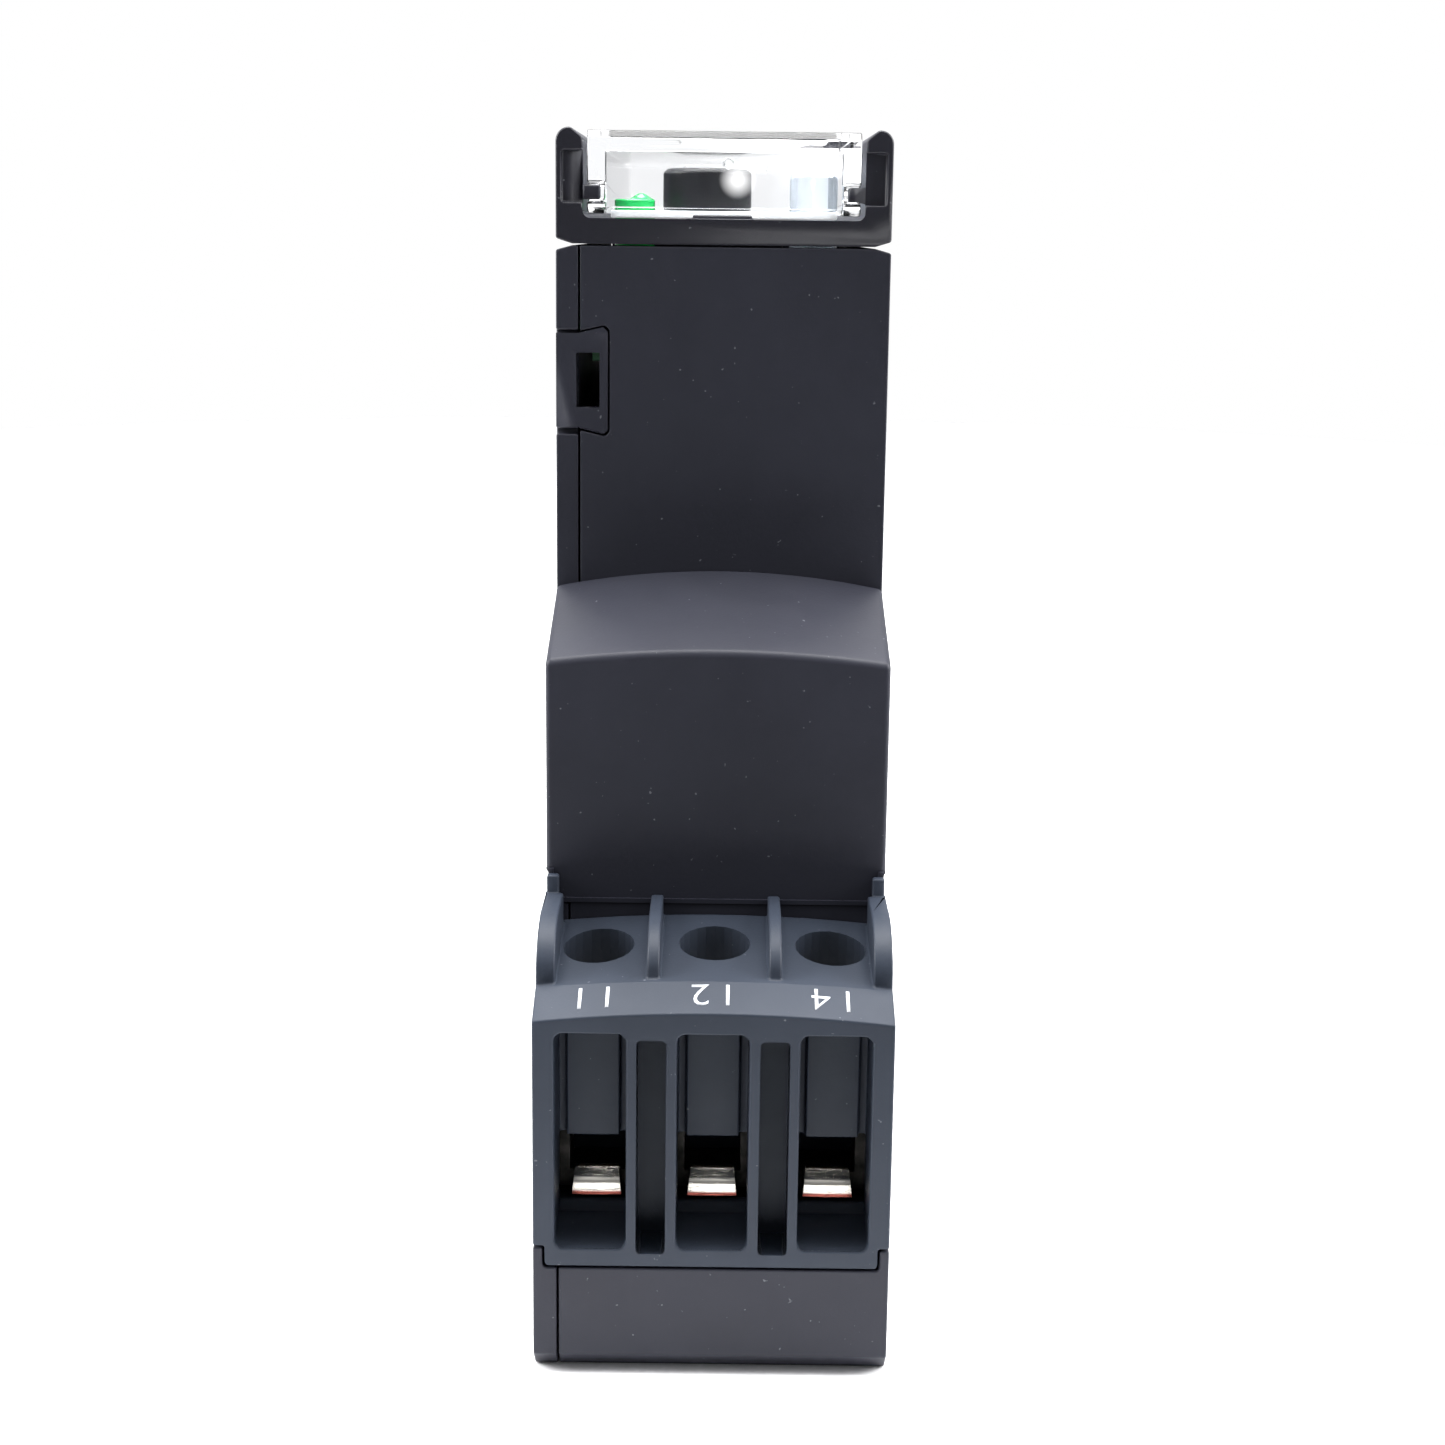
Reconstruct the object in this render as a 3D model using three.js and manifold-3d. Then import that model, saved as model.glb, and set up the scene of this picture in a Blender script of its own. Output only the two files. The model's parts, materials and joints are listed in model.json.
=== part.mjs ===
// DIN-rail control relay, 22.5 mm wide: a timing relay in a narrow insulated housing.
// Millimetres. The origin is the centre of the rail side. +Z points from the rail to the
// operating face, +X across the width, and Y runs between the two rows of terminals.
import * as THREE from 'three';
import { mergeVertices } from 'three/addons/utils/BufferGeometryUtils.js';
import Module from 'manifold-3d';

const wasm = await Module();
wasm.setup();

// ---------------------------------------------------------------- driving dimensions
// Overall
const WIDTH = 22.5;
const BASE_LENGTH = 90;
const TERMINAL_DEPTH = 12;
const FRONT_LENGTH = 45;
const DEPTH = 78;
// Shell
const WALL = 1.5;
const COVER_WALL = 1.5;
const SEAM = 0.12;
const FOOT_BEVEL = 1.3;
// Heights above the rail side
const BASE_HEIGHT = 7.2;
const TERMINAL_FRONT_HEIGHT = 24.2;
const TERMINAL_BACK_HEIGHT = 27.0;
const TERMINAL_CHEEK_HEIGHT = 29.7;
const TERMINAL_RIB_HEIGHT = 28.3;
const STEP_BOTTOM = 27.7;
const STEP_EDGE = 44.7;
const STEP_TOP = 48.45;
const CROWN = 0.7;
// Rail seat for a 35 mm top-hat rail
const RAIL_WIDTH = 35;
const RAIL_CLEARANCE = 0.4;
const RAIL_SEAT = 5.2;
const RAIL_PAD = 0.2;
const RAIL_FLANGE_SLOT = 1.3;
const HOOK_REACH = 1.5;
// Front frame, cover and operating elements
const FRAME_HEIGHT = 7.7;
const FRAME_FLOOR = 1.8;
const CHEEK = 1.8;
const FACE_PLATE = 0.5;
const GROOVE_MOUTH = 0.45;
const GROOVE_DEPTH = 1.1;
const PEG = 0.95;
const PEG_LENGTH = 1.15;
const PEG_RISE = 1.7;
const PEG_INSET = 0.9;
const COVER_PLATE = 1.3;
const COVER_SIDE = 1.15;
const KNOB_DIAMETER = 6.2;
const KNOB_HEIGHT = 2.85;
const KNOB_SHAFT = 3.0;
const KNOB_OFFSET = -1.2;
const KNOB_PITCH = 13.5;
// Terminals
const TERMINALS = 3;
const OPENING_WIDTH = 4.5;
const OPENING_BOTTOM = 8.5;
const OPENING_TOP = 22.8;
const OPENING_CORNER = 0.55;
const PARTITION = 1.9;
const SLOT_WIDTH = 1.86;
const SCREW_HOLE = 4.6;
const SCREW_INSET = 7.85;
const THREAD = 3.0;
const CLAMP_TRAVEL = 2.9;
const BUSBAR = 1.0;
const BUSBAR_HEIGHT = 14.7;
const CAGE_SIDE = 0.8;
const RIB = 0.8;
// Board and its parts
const BOARD = 1.6;
const BOARD_GAP = 1.2;
const CLEAR = 0.3;
const RUNNING = 0.2;

// ---------------------------------------------------------------- derived places
const HALF = WIDTH / 2;
const BASE_Y = BASE_LENGTH / 2;
const MID_Y = BASE_Y - TERMINAL_DEPTH;
const FRONT_Y = FRONT_LENGTH / 2;
const FRAME_Z = DEPTH - FRAME_HEIGHT;
const SEAM_X = -HALF + COVER_WALL;
const INNER_RIGHT = HALF - WALL;
const PITCH = WIDTH / TERMINALS;
const chamberHalf = (PITCH - PARTITION) / 2;
const COLUMNS = Array.from({ length: TERMINALS }, (_, i) => (i - (TERMINALS - 1) / 2) * PITCH);
const BOARD_FACE = INNER_RIGHT - BOARD_GAP - BOARD;
const FLOOR_TOP = FRAME_Z + FRAME_FLOOR;
const PLATE_TOP = FLOOR_TOP + CLEAR / 6 + FACE_PLATE;
const barHalf = chamberHalf - RUNNING - CAGE_SIDE - CLEAR;

// ---------------------------------------------------------------- materials
const plastic = (name, color, roughness = 0.55, extra = {}) =>
  new THREE.MeshStandardMaterial({ name, color, roughness, metalness: 0, ...extra });
const metal = (name, color, roughness = 0.3) =>
  new THREE.MeshStandardMaterial({ name, color, roughness, metalness: 1 });
const clear = (name, color, opacity) =>
  plastic(name, color, 0.08, { transparent: true, opacity });

// ---------------------------------------------------------------- solids and booleans
function toSolid(geometry) {
  const bare = geometry.index ? geometry.toNonIndexed() : geometry.clone();
  bare.deleteAttribute('normal');
  bare.deleteAttribute('uv');
  const merged = mergeVertices(bare, 1e-5);
  return new wasm.Manifold(new wasm.Mesh({
    numProp: 3,
    vertProperties: new Float32Array(merged.attributes.position.array),
    triVerts: new Uint32Array(merged.index.array),
  }));
}

function toGeometry(solid) {
  const data = solid.getMesh();
  const geometry = new THREE.BufferGeometry();
  geometry.setAttribute('position', new THREE.BufferAttribute(new Float32Array(data.vertProperties), 3));
  geometry.setIndex(new THREE.BufferAttribute(new Uint32Array(data.triVerts), 1));
  geometry.computeVertexNormals();
  return geometry;
}

function join(first, ...others) {
  return others.reduce((sum, solid) => sum.add(solid), first);
}

function cut(first, ...others) {
  return others.reduce((rest, solid) => rest.subtract(solid), first);
}

function box(x0, x1, y0, y1, z0, z1) {
  const geometry = new THREE.BoxGeometry(x1 - x0, y1 - y0, z1 - z0);
  geometry.translate((x0 + x1) / 2, (y0 + y1) / 2, (z0 + z1) / 2);
  return toSolid(geometry);
}

function outline(points) {
  return points instanceof THREE.Shape
    ? points
    : new THREE.Shape(points.map(([u, v]) => new THREE.Vector2(u, v)));
}

function extrude(points, depth, basis, curveSegments = 6) {
  const settings = { depth, bevelEnabled: false, curveSegments };
  const geometry = new THREE.ExtrudeGeometry(outline(points), settings);
  geometry.applyMatrix4(basis);
  return toSolid(geometry);
}

// A (y, z) outline carried along X from x0 to x1.
function alongX(points, x0, x1, curveSegments) {
  const basis = new THREE.Matrix4().makeBasis(
    new THREE.Vector3(0, 1, 0), new THREE.Vector3(0, 0, 1), new THREE.Vector3(1, 0, 0));
  basis.setPosition(x0, 0, 0);
  return extrude(points, x1 - x0, basis, curveSegments);
}

// An (x, z) outline carried along Y from y0 to y1.
function alongY(points, y0, y1, curveSegments) {
  const basis = new THREE.Matrix4().makeBasis(
    new THREE.Vector3(1, 0, 0), new THREE.Vector3(0, 0, 1), new THREE.Vector3(0, -1, 0));
  basis.setPosition(0, y1, 0);
  return extrude(points, y1 - y0, basis, curveSegments);
}

// An (x, y) outline carried along Z from z0 to z1.
function alongZ(points, z0, z1, curveSegments) {
  return extrude(points, z1 - z0, new THREE.Matrix4().makeTranslation(0, 0, z0), curveSegments);
}

function rod(axis, at, from, to, radius, segments = 24, endRadius = radius) {
  const geometry = new THREE.CylinderGeometry(endRadius, radius, to - from, segments);
  geometry.translate(0, (from + to) / 2, 0);
  if (axis === 'z') geometry.rotateX(Math.PI / 2);
  if (axis === 'x') geometry.rotateZ(-Math.PI / 2);
  const [a, b] = at;
  if (axis === 'x') geometry.translate(0, a, b);
  if (axis === 'y') geometry.translate(a, 0, b);
  if (axis === 'z') geometry.translate(a, b, 0);
  return toSolid(geometry);
}

// A turned body about a vertical axis at (x, y): profile points are (radius, z).
function turned(x, y, profile, segments = 24) {
  const geometry = new THREE.LatheGeometry(profile.map(([r, z]) => new THREE.Vector2(r, z)), segments);
  geometry.rotateX(Math.PI / 2);
  geometry.translate(x, y, 0);
  return toSolid(geometry);
}

function roundedRect(u0, u1, v0, v1, r) {
  const shape = new THREE.Shape();
  shape.moveTo(u0 + r, v0);
  shape.lineTo(u1 - r, v0);
  shape.absarc(u1 - r, v0 + r, r, -Math.PI / 2, 0, false);
  shape.lineTo(u1, v1 - r);
  shape.absarc(u1 - r, v1 - r, r, 0, Math.PI / 2, false);
  shape.lineTo(u0 + r, v1);
  shape.absarc(u0 + r, v1 - r, r, Math.PI / 2, Math.PI, false);
  shape.lineTo(u0, v0 + r);
  shape.absarc(u0 + r, v0 + r, r, Math.PI, 1.5 * Math.PI, false);
  return shape;
}

const mirrorY = (points) => points.map(([y, z]) => [-y, z]).reverse();

// ---------------------------------------------------------------- shell outline
// Half of the (y, z) outline of the shell, from the rail recess up to the frame.
const stepBack = MID_Y - COVER_WALL;
const stepSlope = (STEP_TOP - STEP_EDGE) / (MID_Y - FRONT_Y);
const slopeUnder = (y) => STEP_TOP - COVER_WALL - CLEAR - stepSlope * (y - FRONT_Y);
const recessHalf = (RAIL_WIDTH + RAIL_CLEARANCE) / 2;
const hookTop = RAIL_SEAT - RAIL_PAD - RAIL_FLANGE_SLOT;

const upperHalf = [
  [-BASE_Y + FOOT_BEVEL, 0],
  [-BASE_Y, FOOT_BEVEL],
  [-BASE_Y, BASE_HEIGHT],
  [-MID_Y, BASE_HEIGHT],
  [-MID_Y, STEP_BOTTOM - SEAM],
  [-stepBack, STEP_BOTTOM - SEAM],
  [-stepBack, slopeUnder(stepBack)],
  [-FRONT_Y, slopeUnder(FRONT_Y)],
  [-FRONT_Y, FRAME_Z],
];
const hookSide = [
  [-recessHalf, RAIL_SEAT],
  [-recessHalf, hookTop],
  [-recessHalf + HOOK_REACH, hookTop],
  [-recessHalf + HOOK_REACH, hookTop - 1.2],
  [-recessHalf - 0.4, 0],
];
const footSide = [[recessHalf + CLEAR, 0], [recessHalf + CLEAR, RAIL_SEAT]];
const shellOutline = [...upperHalf, ...mirrorY(upperHalf), ...footSide, ...hookSide].reverse();

const wallY = MID_Y - WALL;
const boardEnd = wallY - CLEAR - 2.6;
const REST_ROWS = [12, 40];
const innerBaseTop = BASE_HEIGHT - WALL;
const ribFloor = RAIL_SEAT + WALL;
const footCeiling = 4.2;
const cavityHalf = [
  [-BASE_Y + WALL, WALL],
  [-BASE_Y + WALL, innerBaseTop],
  [-wallY, innerBaseTop],
  [-wallY, STEP_BOTTOM - SEAM - WALL],
  [-stepBack + WALL, STEP_BOTTOM - SEAM - WALL],
  [-stepBack + WALL, slopeUnder(stepBack) - WALL],
  [-FRONT_Y + WALL, slopeUnder(FRONT_Y) - WALL],
  [-FRONT_Y + WALL, FRAME_Z + 1],
];
const footTop = footCeiling + WALL;
const cavityOutline = [
  ...cavityHalf, ...mirrorY(cavityHalf.slice(3)), [wallY, footTop],
  [recessHalf + WALL + CLEAR, footTop], [recessHalf + WALL + CLEAR, ribFloor],
  [-recessHalf - WALL, ribFloor], [-recessHalf - WALL, WALL],
].reverse();

// ---------------------------------------------------------------- DIN foot and its channel
const FOOT = {
  half: 4.0, wing: 5.4, low: 0.35, wingLow: 1.9, high: 3.8, travel: 4.0, slotHalf: 1.7,
  nose: recessHalf - HOOK_REACH, start: recessHalf + 1.4, end: BASE_Y - 0.3,
  wingEnd: BASE_Y - 6.2, slotStart: recessHalf + 6.3, slotEnd: BASE_Y - 8.8,
};
const POST = { half: 1.4, start: FOOT.slotEnd - 1.6, end: FOOT.slotEnd - CLEAR, low: 0.9 };

function footChannel() {
  const body = box(-FOOT.half - RUNNING, FOOT.half + RUNNING, recessHalf, BASE_Y + 1, -1, footCeiling);
  const wingStop = FOOT.wingEnd + FOOT.travel + CLEAR;
  const wings = box(-FOOT.wing - RUNNING, FOOT.wing + RUNNING, recessHalf, wingStop,
    FOOT.wingLow - RUNNING, footCeiling);
  return join(body, wings);
}

function dinFoot() {
  const nose = alongX([
    [FOOT.nose, 2.6], [FOOT.nose, hookTop - RUNNING], [FOOT.start + 1, hookTop - RUNNING],
    [FOOT.start + 1, FOOT.low], [FOOT.nose + 1.9, FOOT.low],
  ].reverse(), -FOOT.half, FOOT.half);
  const body = box(-FOOT.half, FOOT.half, FOOT.start, FOOT.end, FOOT.low, FOOT.high);
  const wings = box(-FOOT.wing, FOOT.wing, FOOT.start, FOOT.wingEnd, FOOT.wingLow, FOOT.high);
  const springSlot = box(-FOOT.slotHalf, FOOT.slotHalf, FOOT.slotStart, FOOT.slotEnd, -1, FOOT.high + 1);
  const leverSlot = box(-2.4, 2.4, FOOT.end - 3.2, FOOT.end - 1.8, -1, FOOT.high + 1);
  const grip = box(-FOOT.half - 1, FOOT.half + 1, FOOT.end - 0.6, FOOT.end + 1, -1, 1.2);
  return cut(join(body, wings, nose), springSlot, leverSlot, grip);
}

function footSpring() {
  const turns = 6;
  const radius = 1.05;
  const wire = 0.2;
  const from = FOOT.slotStart + 0.35;
  const to = POST.start - 0.35;
  const middle = (FOOT.low + FOOT.high) / 2;
  class Helix extends THREE.Curve {
    getPoint(t, target = new THREE.Vector3()) {
      const angle = 2 * Math.PI * turns * t;
      const y = from + (to - from) * t;
      return target.set(radius * Math.cos(angle), y, middle + radius * Math.sin(angle));
    }
  }
  const section = new THREE.Shape();
  section.absarc(0, 0, wire, 0, 2 * Math.PI, false);
  return toSolid(new THREE.ExtrudeGeometry(section, {
    steps: turns * 10, curveSegments: 3, extrudePath: new Helix(), bevelEnabled: false,
  }));
}

// ---------------------------------------------------------------- housing and side cover
const TONGUE = {
  bottom: FRAME_Z - 12.6, top: FRAME_Z - 5.4, thick: 0.8, reach: 3.5, bevel: 0.3, flare: 0.5,
};
const tongueX = -HALF + TONGUE.reach;
const windowHalf = 0.8;
const windowX = tongueX - 0.55 - windowHalf;

// The tongue's outline on the end wall, grown by a margin for the pocket that takes it.
function tongueOutline(margin) {
  const low = TONGUE.bottom - margin;
  const high = TONGUE.top + margin;
  const edge = tongueX + margin;
  const { bevel, flare } = TONGUE;
  return [
    [SEAM_X - 0.4, low + flare], [edge - bevel, low], [edge, low + bevel],
    [edge, high - bevel], [edge - bevel, high], [SEAM_X - 0.4, high - flare],
  ];
}

// Makes a solid at the end towards -Y and its twin, turned half round, at the other end.
function bothEnds(solid) {
  return join(solid, flipSides(solid));
}

function flipSides(solid) {
  return solid.mirror([0, 1, 0]);
}

function housingMain() {
  const shell = alongX(shellOutline, SEAM_X + SEAM, HALF);
  const cavity = alongX(cavityOutline, SEAM_X - 1, INNER_RIGHT);
  const tonguePocket = alongY(tongueOutline(SEAM), -FRONT_Y - 1, -FRONT_Y + TONGUE.thick + SEAM);
  const lugHole = box(windowX - windowHalf, windowX + windowHalf, -FRONT_Y - 1, -FRONT_Y + WALL + 1,
    TONGUE.bottom + 1.8, TONGUE.top - 1.7);
  const ends = bothEnds(join(tonguePocket, lugHole));
  const pad = box(SEAM_X + 1, HALF - 0.4, -recessHalf + HOOK_REACH + 0.5, FOOT.nose - 0.5,
    RAIL_SEAT - RAIL_PAD, RAIL_SEAT + 0.1);
  const bars = COLUMNS.map((x) => box(x - barHalf - RUNNING, x + barHalf + RUNNING, -MID_Y - 1, -wallY + 1,
    BUSBAR_HEIGHT - 0.2, BUSBAR_HEIGHT + BUSBAR + 0.2));
  const barSlots = bothEnds(join(...bars));
  const post = box(-POST.half, POST.half, POST.start, POST.end, POST.low, footCeiling + 0.1);
  const groove = alongY([
    [HALF - GROOVE_DEPTH, FRAME_Z + 0.5], [HALF - GROOVE_DEPTH, FRAME_Z], [HALF + 0.2, FRAME_Z - 0.35],
    [HALF + 0.2, FRAME_Z + 0.5],
  ].reverse(), -FRONT_Y - 1, FRONT_Y + 1);
  const solid = join(cut(shell, cavity), pad, boardRests());
  const rightLugs = bothEnds(lugs(1, 0, -BASE_Y, -MID_Y - SEAM));
  return join(cut(solid, ends, barSlots, footChannel(), groove), post, rightLugs);
}

// The lug at one side of the base, in (x, z), that rises beside the terminal block's lower corner.
const LUG = { rise: 1.35, width: 0.6, slope: 0.75, drop: 1.15 };

function lugOutline(margin) {
  const outer = HALF + margin;
  const top = BASE_HEIGHT + LUG.rise + margin;
  const inner = HALF - LUG.width - margin;
  return [
    [outer, BASE_HEIGHT - WALL / 2], [outer, top], [inner, top],
    [inner, top - LUG.drop], [inner - LUG.slope, BASE_HEIGHT - WALL / 2 + margin / 2],
  ];
}

// Both ends' lugs on one side: side is 1 for the right and -1 for the left.
function lugs(side, margin, from, to) {
  const points = lugOutline(margin).map(([x, z]) => [side * x, z]);
  return alongY(side > 0 ? points.reverse() : points, from, to);
}

// Ribs on the right wall that the main board stands off on.
function boardRests() {
  const ribs = REST_ROWS.flatMap((z) => [-boardEnd + 4.6, boardEnd - 4.6].map((y) =>
    box(BOARD_FACE + BOARD + 0.1, INNER_RIGHT + 0.1, y - 1.2, y + 1.2, z - 1.2, z + 1.2)));
  return join(...ribs);
}

function sideCover() {
  const plate = alongX(shellOutline, -HALF, SEAM_X);
  const stop = BASE_Y - 0.1;
  const tongue = alongY(tongueOutline(0), -FRONT_Y, -FRONT_Y + TONGUE.thick);
  const window = box(windowX - windowHalf, windowX + windowHalf, -stop, -FRONT_Y + TONGUE.thick + 0.1,
    TONGUE.bottom + 1.8, TONGUE.top - 1.7);
  const groove = alongY([
    [-HALF - 0.2, FRAME_Z + 0.5], [-HALF - 0.2, FRAME_Z - 0.35], [-HALF + GROOVE_DEPTH, FRAME_Z],
    [-HALF + GROOVE_DEPTH, FRAME_Z + 0.5],
  ].reverse(), -FRONT_Y - 1, FRONT_Y + 1);
  const marks = [[TONGUE.bottom + 0.2, 0.2], [TONGUE.top - 0.3, 0.11]].map(([z, half]) =>
    box(-HALF - 1, SEAM_X + 1, -FRONT_Y - 1, -FRONT_Y + 0.5, z - half, z + half));
  const cutEnds = bothEnds(join(...marks));
  const ledgeSlot = box(-HALF - 1, SEAM_X + 1, recessHalf - 1, recessHalf + 0.1, -1, RAIL_SEAT);
  const body = cut(plate, cutEnds, groove, ledgeSlot);
  const leftLugs = bothEnds(lugs(-1, 0, -BASE_Y, -MID_Y - SEAM));
  return cut(join(body, bothEnds(tongue), leftLugs), bothEnds(window));
}

// ---------------------------------------------------------------- crowned slopes
// A tool that removes all above a slope from (y0, z0) to (y1, z1), crowned across the width.
function crownTool(y0, z0, y1, z1, crown = CROWN) {
  const span = HALF + 1;
  const radius = (span * span + crown * crown) / (2 * crown);
  const length = Math.hypot(y1 - y0, z1 - z0);
  const reach = 8;
  const profile = [];
  const parts = 12;
  for (let i = 0; i <= parts; i += 1) {
    const x = -span + (2 * span * i) / parts;
    profile.push([x, Math.sqrt(radius * radius - x * x) - radius]);
  }
  profile.push([span, 20], [-span, 20]);
  const block = alongY(profile, -reach, length + reach);
  const angle = (Math.atan2(z1 - z0, y1 - y0) * 180) / Math.PI;
  return block.rotate([angle, 0, 0]).translate([0, y0, z0]);
}

// ---------------------------------------------------------------- terminal block
const blockFace = -BASE_Y;
const blockBack = -MID_Y - SEAM;
const blockBottom = BASE_HEIGHT + SEAM;
const openingSpread = 0.15;
const chamberFront = blockFace + 5.0;
const chamberBack = blockBack - 1.2;
const plateY = blockFace + 3.8;
const ramp = 1.3;
const screwY = blockFace + SCREW_INSET;
const cageInset = RUNNING;
const CAGE = { setback: 1.2, jaw: 1.2, lip: 0.4, head: 1.6, gap: 6.5, depth: 4.8 };
const cageFloor = OPENING_BOTTOM + ramp + 0.1;
const cageTop = cageFloor + CAGE.jaw + CAGE.gap + CAGE.head;
const screwSeat = cageTop + CLAMP_TRAVEL + CLEAR;
const SCREW = { head: 2.1, headHeight: 1.6 };
const slopeKink = blockFace + 2.8;
const kinkHeight = TERMINAL_FRONT_HEIGHT + 1.15;
const cheekFront = blockFace + 3.2;

// The arched flank of a rib or cheek, in (y, z): flat at the back, rounded down to the slope.
function archOutline(front, back, top, foot) {
  const rise = top - foot;
  const points = [[back, foot - 4], [back, top]];
  const steps = 7;
  for (let i = 0; i <= steps; i += 1) {
    const angle = (Math.PI / 2) * (i / steps);
    points.push([front + 4.6 - 4.6 * Math.sin(angle), top - rise * (1 - Math.cos(angle))]);
  }
  points.push([front, foot - 4]);
  return points;
}

function terminalBlock() {
  const block = box(-HALF, HALF, blockFace, blockBack, blockBottom, TERMINAL_BACK_HEIGHT + CROWN);
  const front = crownTool(blockFace, TERMINAL_FRONT_HEIGHT, slopeKink, kinkHeight);
  const back = crownTool(slopeKink, kinkHeight, blockBack, TERMINAL_BACK_HEIGHT);
  const foot = TERMINAL_FRONT_HEIGHT + 1;
  const ribs = COLUMNS.slice(1).map((x) => {
    const middle = x - PITCH / 2 + Math.sign(x - PITCH / 2) * 0.1;
    return alongX(archOutline(blockFace + 3.2, blockBack, TERMINAL_RIB_HEIGHT, foot),
      middle - RIB / 2, middle + RIB / 2);
  });
  const cheek = archOutline(cheekFront, blockBack - 0.5, TERMINAL_CHEEK_HEIGHT - 1.2, foot);
  const cheeks = [[-HALF, -HALF + 1.2], [HALF - 1.2, HALF]].map(([x0, x1]) => alongX(cheek, x0, x1));
  const tabs = [[-HALF + 0.1, -HALF + 0.9], [HALF - 0.9, HALF - 0.1]].map(([x0, x1]) =>
    box(x0, x1, blockBack - 0.7, blockBack, 20, TERMINAL_CHEEK_HEIGHT));
  let solid = join(cut(block, front, back), ...ribs, ...cheeks, ...tabs);
  for (const x of COLUMNS) solid = cut(solid, chamber(x));
  const slots = COLUMNS.slice(1).map((x) => {
    const middle = x - PITCH / 2 + Math.sign(x - PITCH / 2) * 0.1;
    const half = Math.min(SLOT_WIDTH, PARTITION) / 2;
    return alongY(roundedRect(middle - half, middle + half, OPENING_BOTTOM - 0.3, OPENING_TOP - 0.4, 0.3),
      blockFace - 1, blockFace + 3.4, 3);
  });
  const corners = [-1, 1].map((side) => lugs(side, SEAM, blockFace - 1, blockBack + 1));
  return cut(solid, ...slots, ...corners);
}

// Everything cut for one terminal at x: the wire mouth, its ramp, the clamp chamber and the hole.
function chamber(x) {
  const middle = x + Math.sign(x) * openingSpread;
  const half = OPENING_WIDTH / 2;
  const hood = 0.55;
  const rim = roundedRect(middle - half, middle + half, OPENING_BOTTOM, OPENING_TOP, OPENING_CORNER);
  const mouth = alongY(rim, blockFace - 1, plateY, 3);
  const gutters = [[middle - half, middle - half + hood], [middle + half - hood, middle + half]].map(
    ([x0, x1]) => box(x0, x1, plateY - 1, plateY + 0.7, OPENING_BOTTOM + ramp, OPENING_TOP - 0.1));
  const tunnel = alongX([
    [plateY - 0.1, OPENING_BOTTOM + 0.6], [plateY - 0.1, BUSBAR_HEIGHT - 0.1],
    [chamberFront + 0.1, BUSBAR_HEIGHT - 0.1], [chamberFront + 0.1, OPENING_BOTTOM + ramp],
    [blockFace + 4.6, OPENING_BOTTOM + ramp],
  ].reverse(), middle - half, middle + half);
  const clampRoom = box(x - chamberHalf, x + chamberHalf, chamberFront, chamberBack,
    cageFloor - 0.9, screwSeat);
  const headTop = screwSeat + SCREW.headHeight + CLEAR;
  const headRoom = rod('z', [x, screwY], screwSeat - 0.1, headTop, SCREW.head + RUNNING);
  const hole = rod('z', [x, screwY], screwSeat + SCREW.headHeight, TERMINAL_CHEEK_HEIGHT + 2,
    SCREW_HOLE / 2);
  const barWay = box(x - barHalf - RUNNING, x + barHalf + RUNNING, chamberBack - 0.5, blockBack + 1,
    BUSBAR_HEIGHT - 0.2, BUSBAR_HEIGHT + BUSBAR + 0.2);
  const wedge = alongX([
    [blockFace - 1, OPENING_BOTTOM - 1], [blockFace - 1, OPENING_BOTTOM], [blockFace, OPENING_BOTTOM],
    [plateY + 0.05, OPENING_BOTTOM + ramp * 0.75], [plateY + 0.05, OPENING_BOTTOM - 1],
  ].reverse(), middle - half - 1, middle + half + 1);
  return join(cut(mouth, wedge), ...gutters, tunnel, clampRoom, headRoom, hole, barWay);
}

function clampCage(x) {
  const half = chamberHalf - cageInset;
  const from = chamberFront + 0.35;
  const to = from + CAGE.depth;
  const ring = box(x - half, x + half, from + CAGE.setback, to, cageFloor, cageTop);
  const room = box(x - half + CAGE_SIDE, x + half - CAGE_SIDE, from - 1, to + 1,
    cageFloor + CAGE.jaw, cageFloor + CAGE.jaw + CAGE.gap);
  const lip = alongX([
    [from - 0.3, cageFloor + 0.2], [from, cageFloor], [from + 1.4, cageFloor + 0.2],
    [from + 1.4, cageFloor + CAGE.jaw + CAGE.lip], [from + 0.5, cageFloor + CAGE.jaw + CAGE.lip],
  ].reverse(), x - OPENING_WIDTH * 0.33, x + OPENING_WIDTH * 0.33);
  const hole = rod('z', [x, screwY], cageTop - CAGE.head - 1, cageTop + 1, THREAD / 2 + 0.05, 16);
  return cut(join(cut(ring, room), lip), hole);
}

function clampScrew(x) {
  const tip = BUSBAR_HEIGHT + BUSBAR + CLEAR;
  const shank = rod('z', [x, screwY], tip, screwSeat + 0.1, THREAD / 2 - 0.1, 16);
  const head = rod('z', [x, screwY], screwSeat, screwSeat + SCREW.headHeight, SCREW.head, 20);
  const arm = 1.5;
  const top = screwSeat + SCREW.headHeight;
  const cross = join(
    box(x - arm, x + arm, screwY - 0.3, screwY + 0.3, top - 0.8, top + 1),
    box(x - 0.3, x + 0.3, screwY - arm, screwY + arm, top - 0.8, top + 1));
  return cut(join(shank, head), cross);
}

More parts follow.
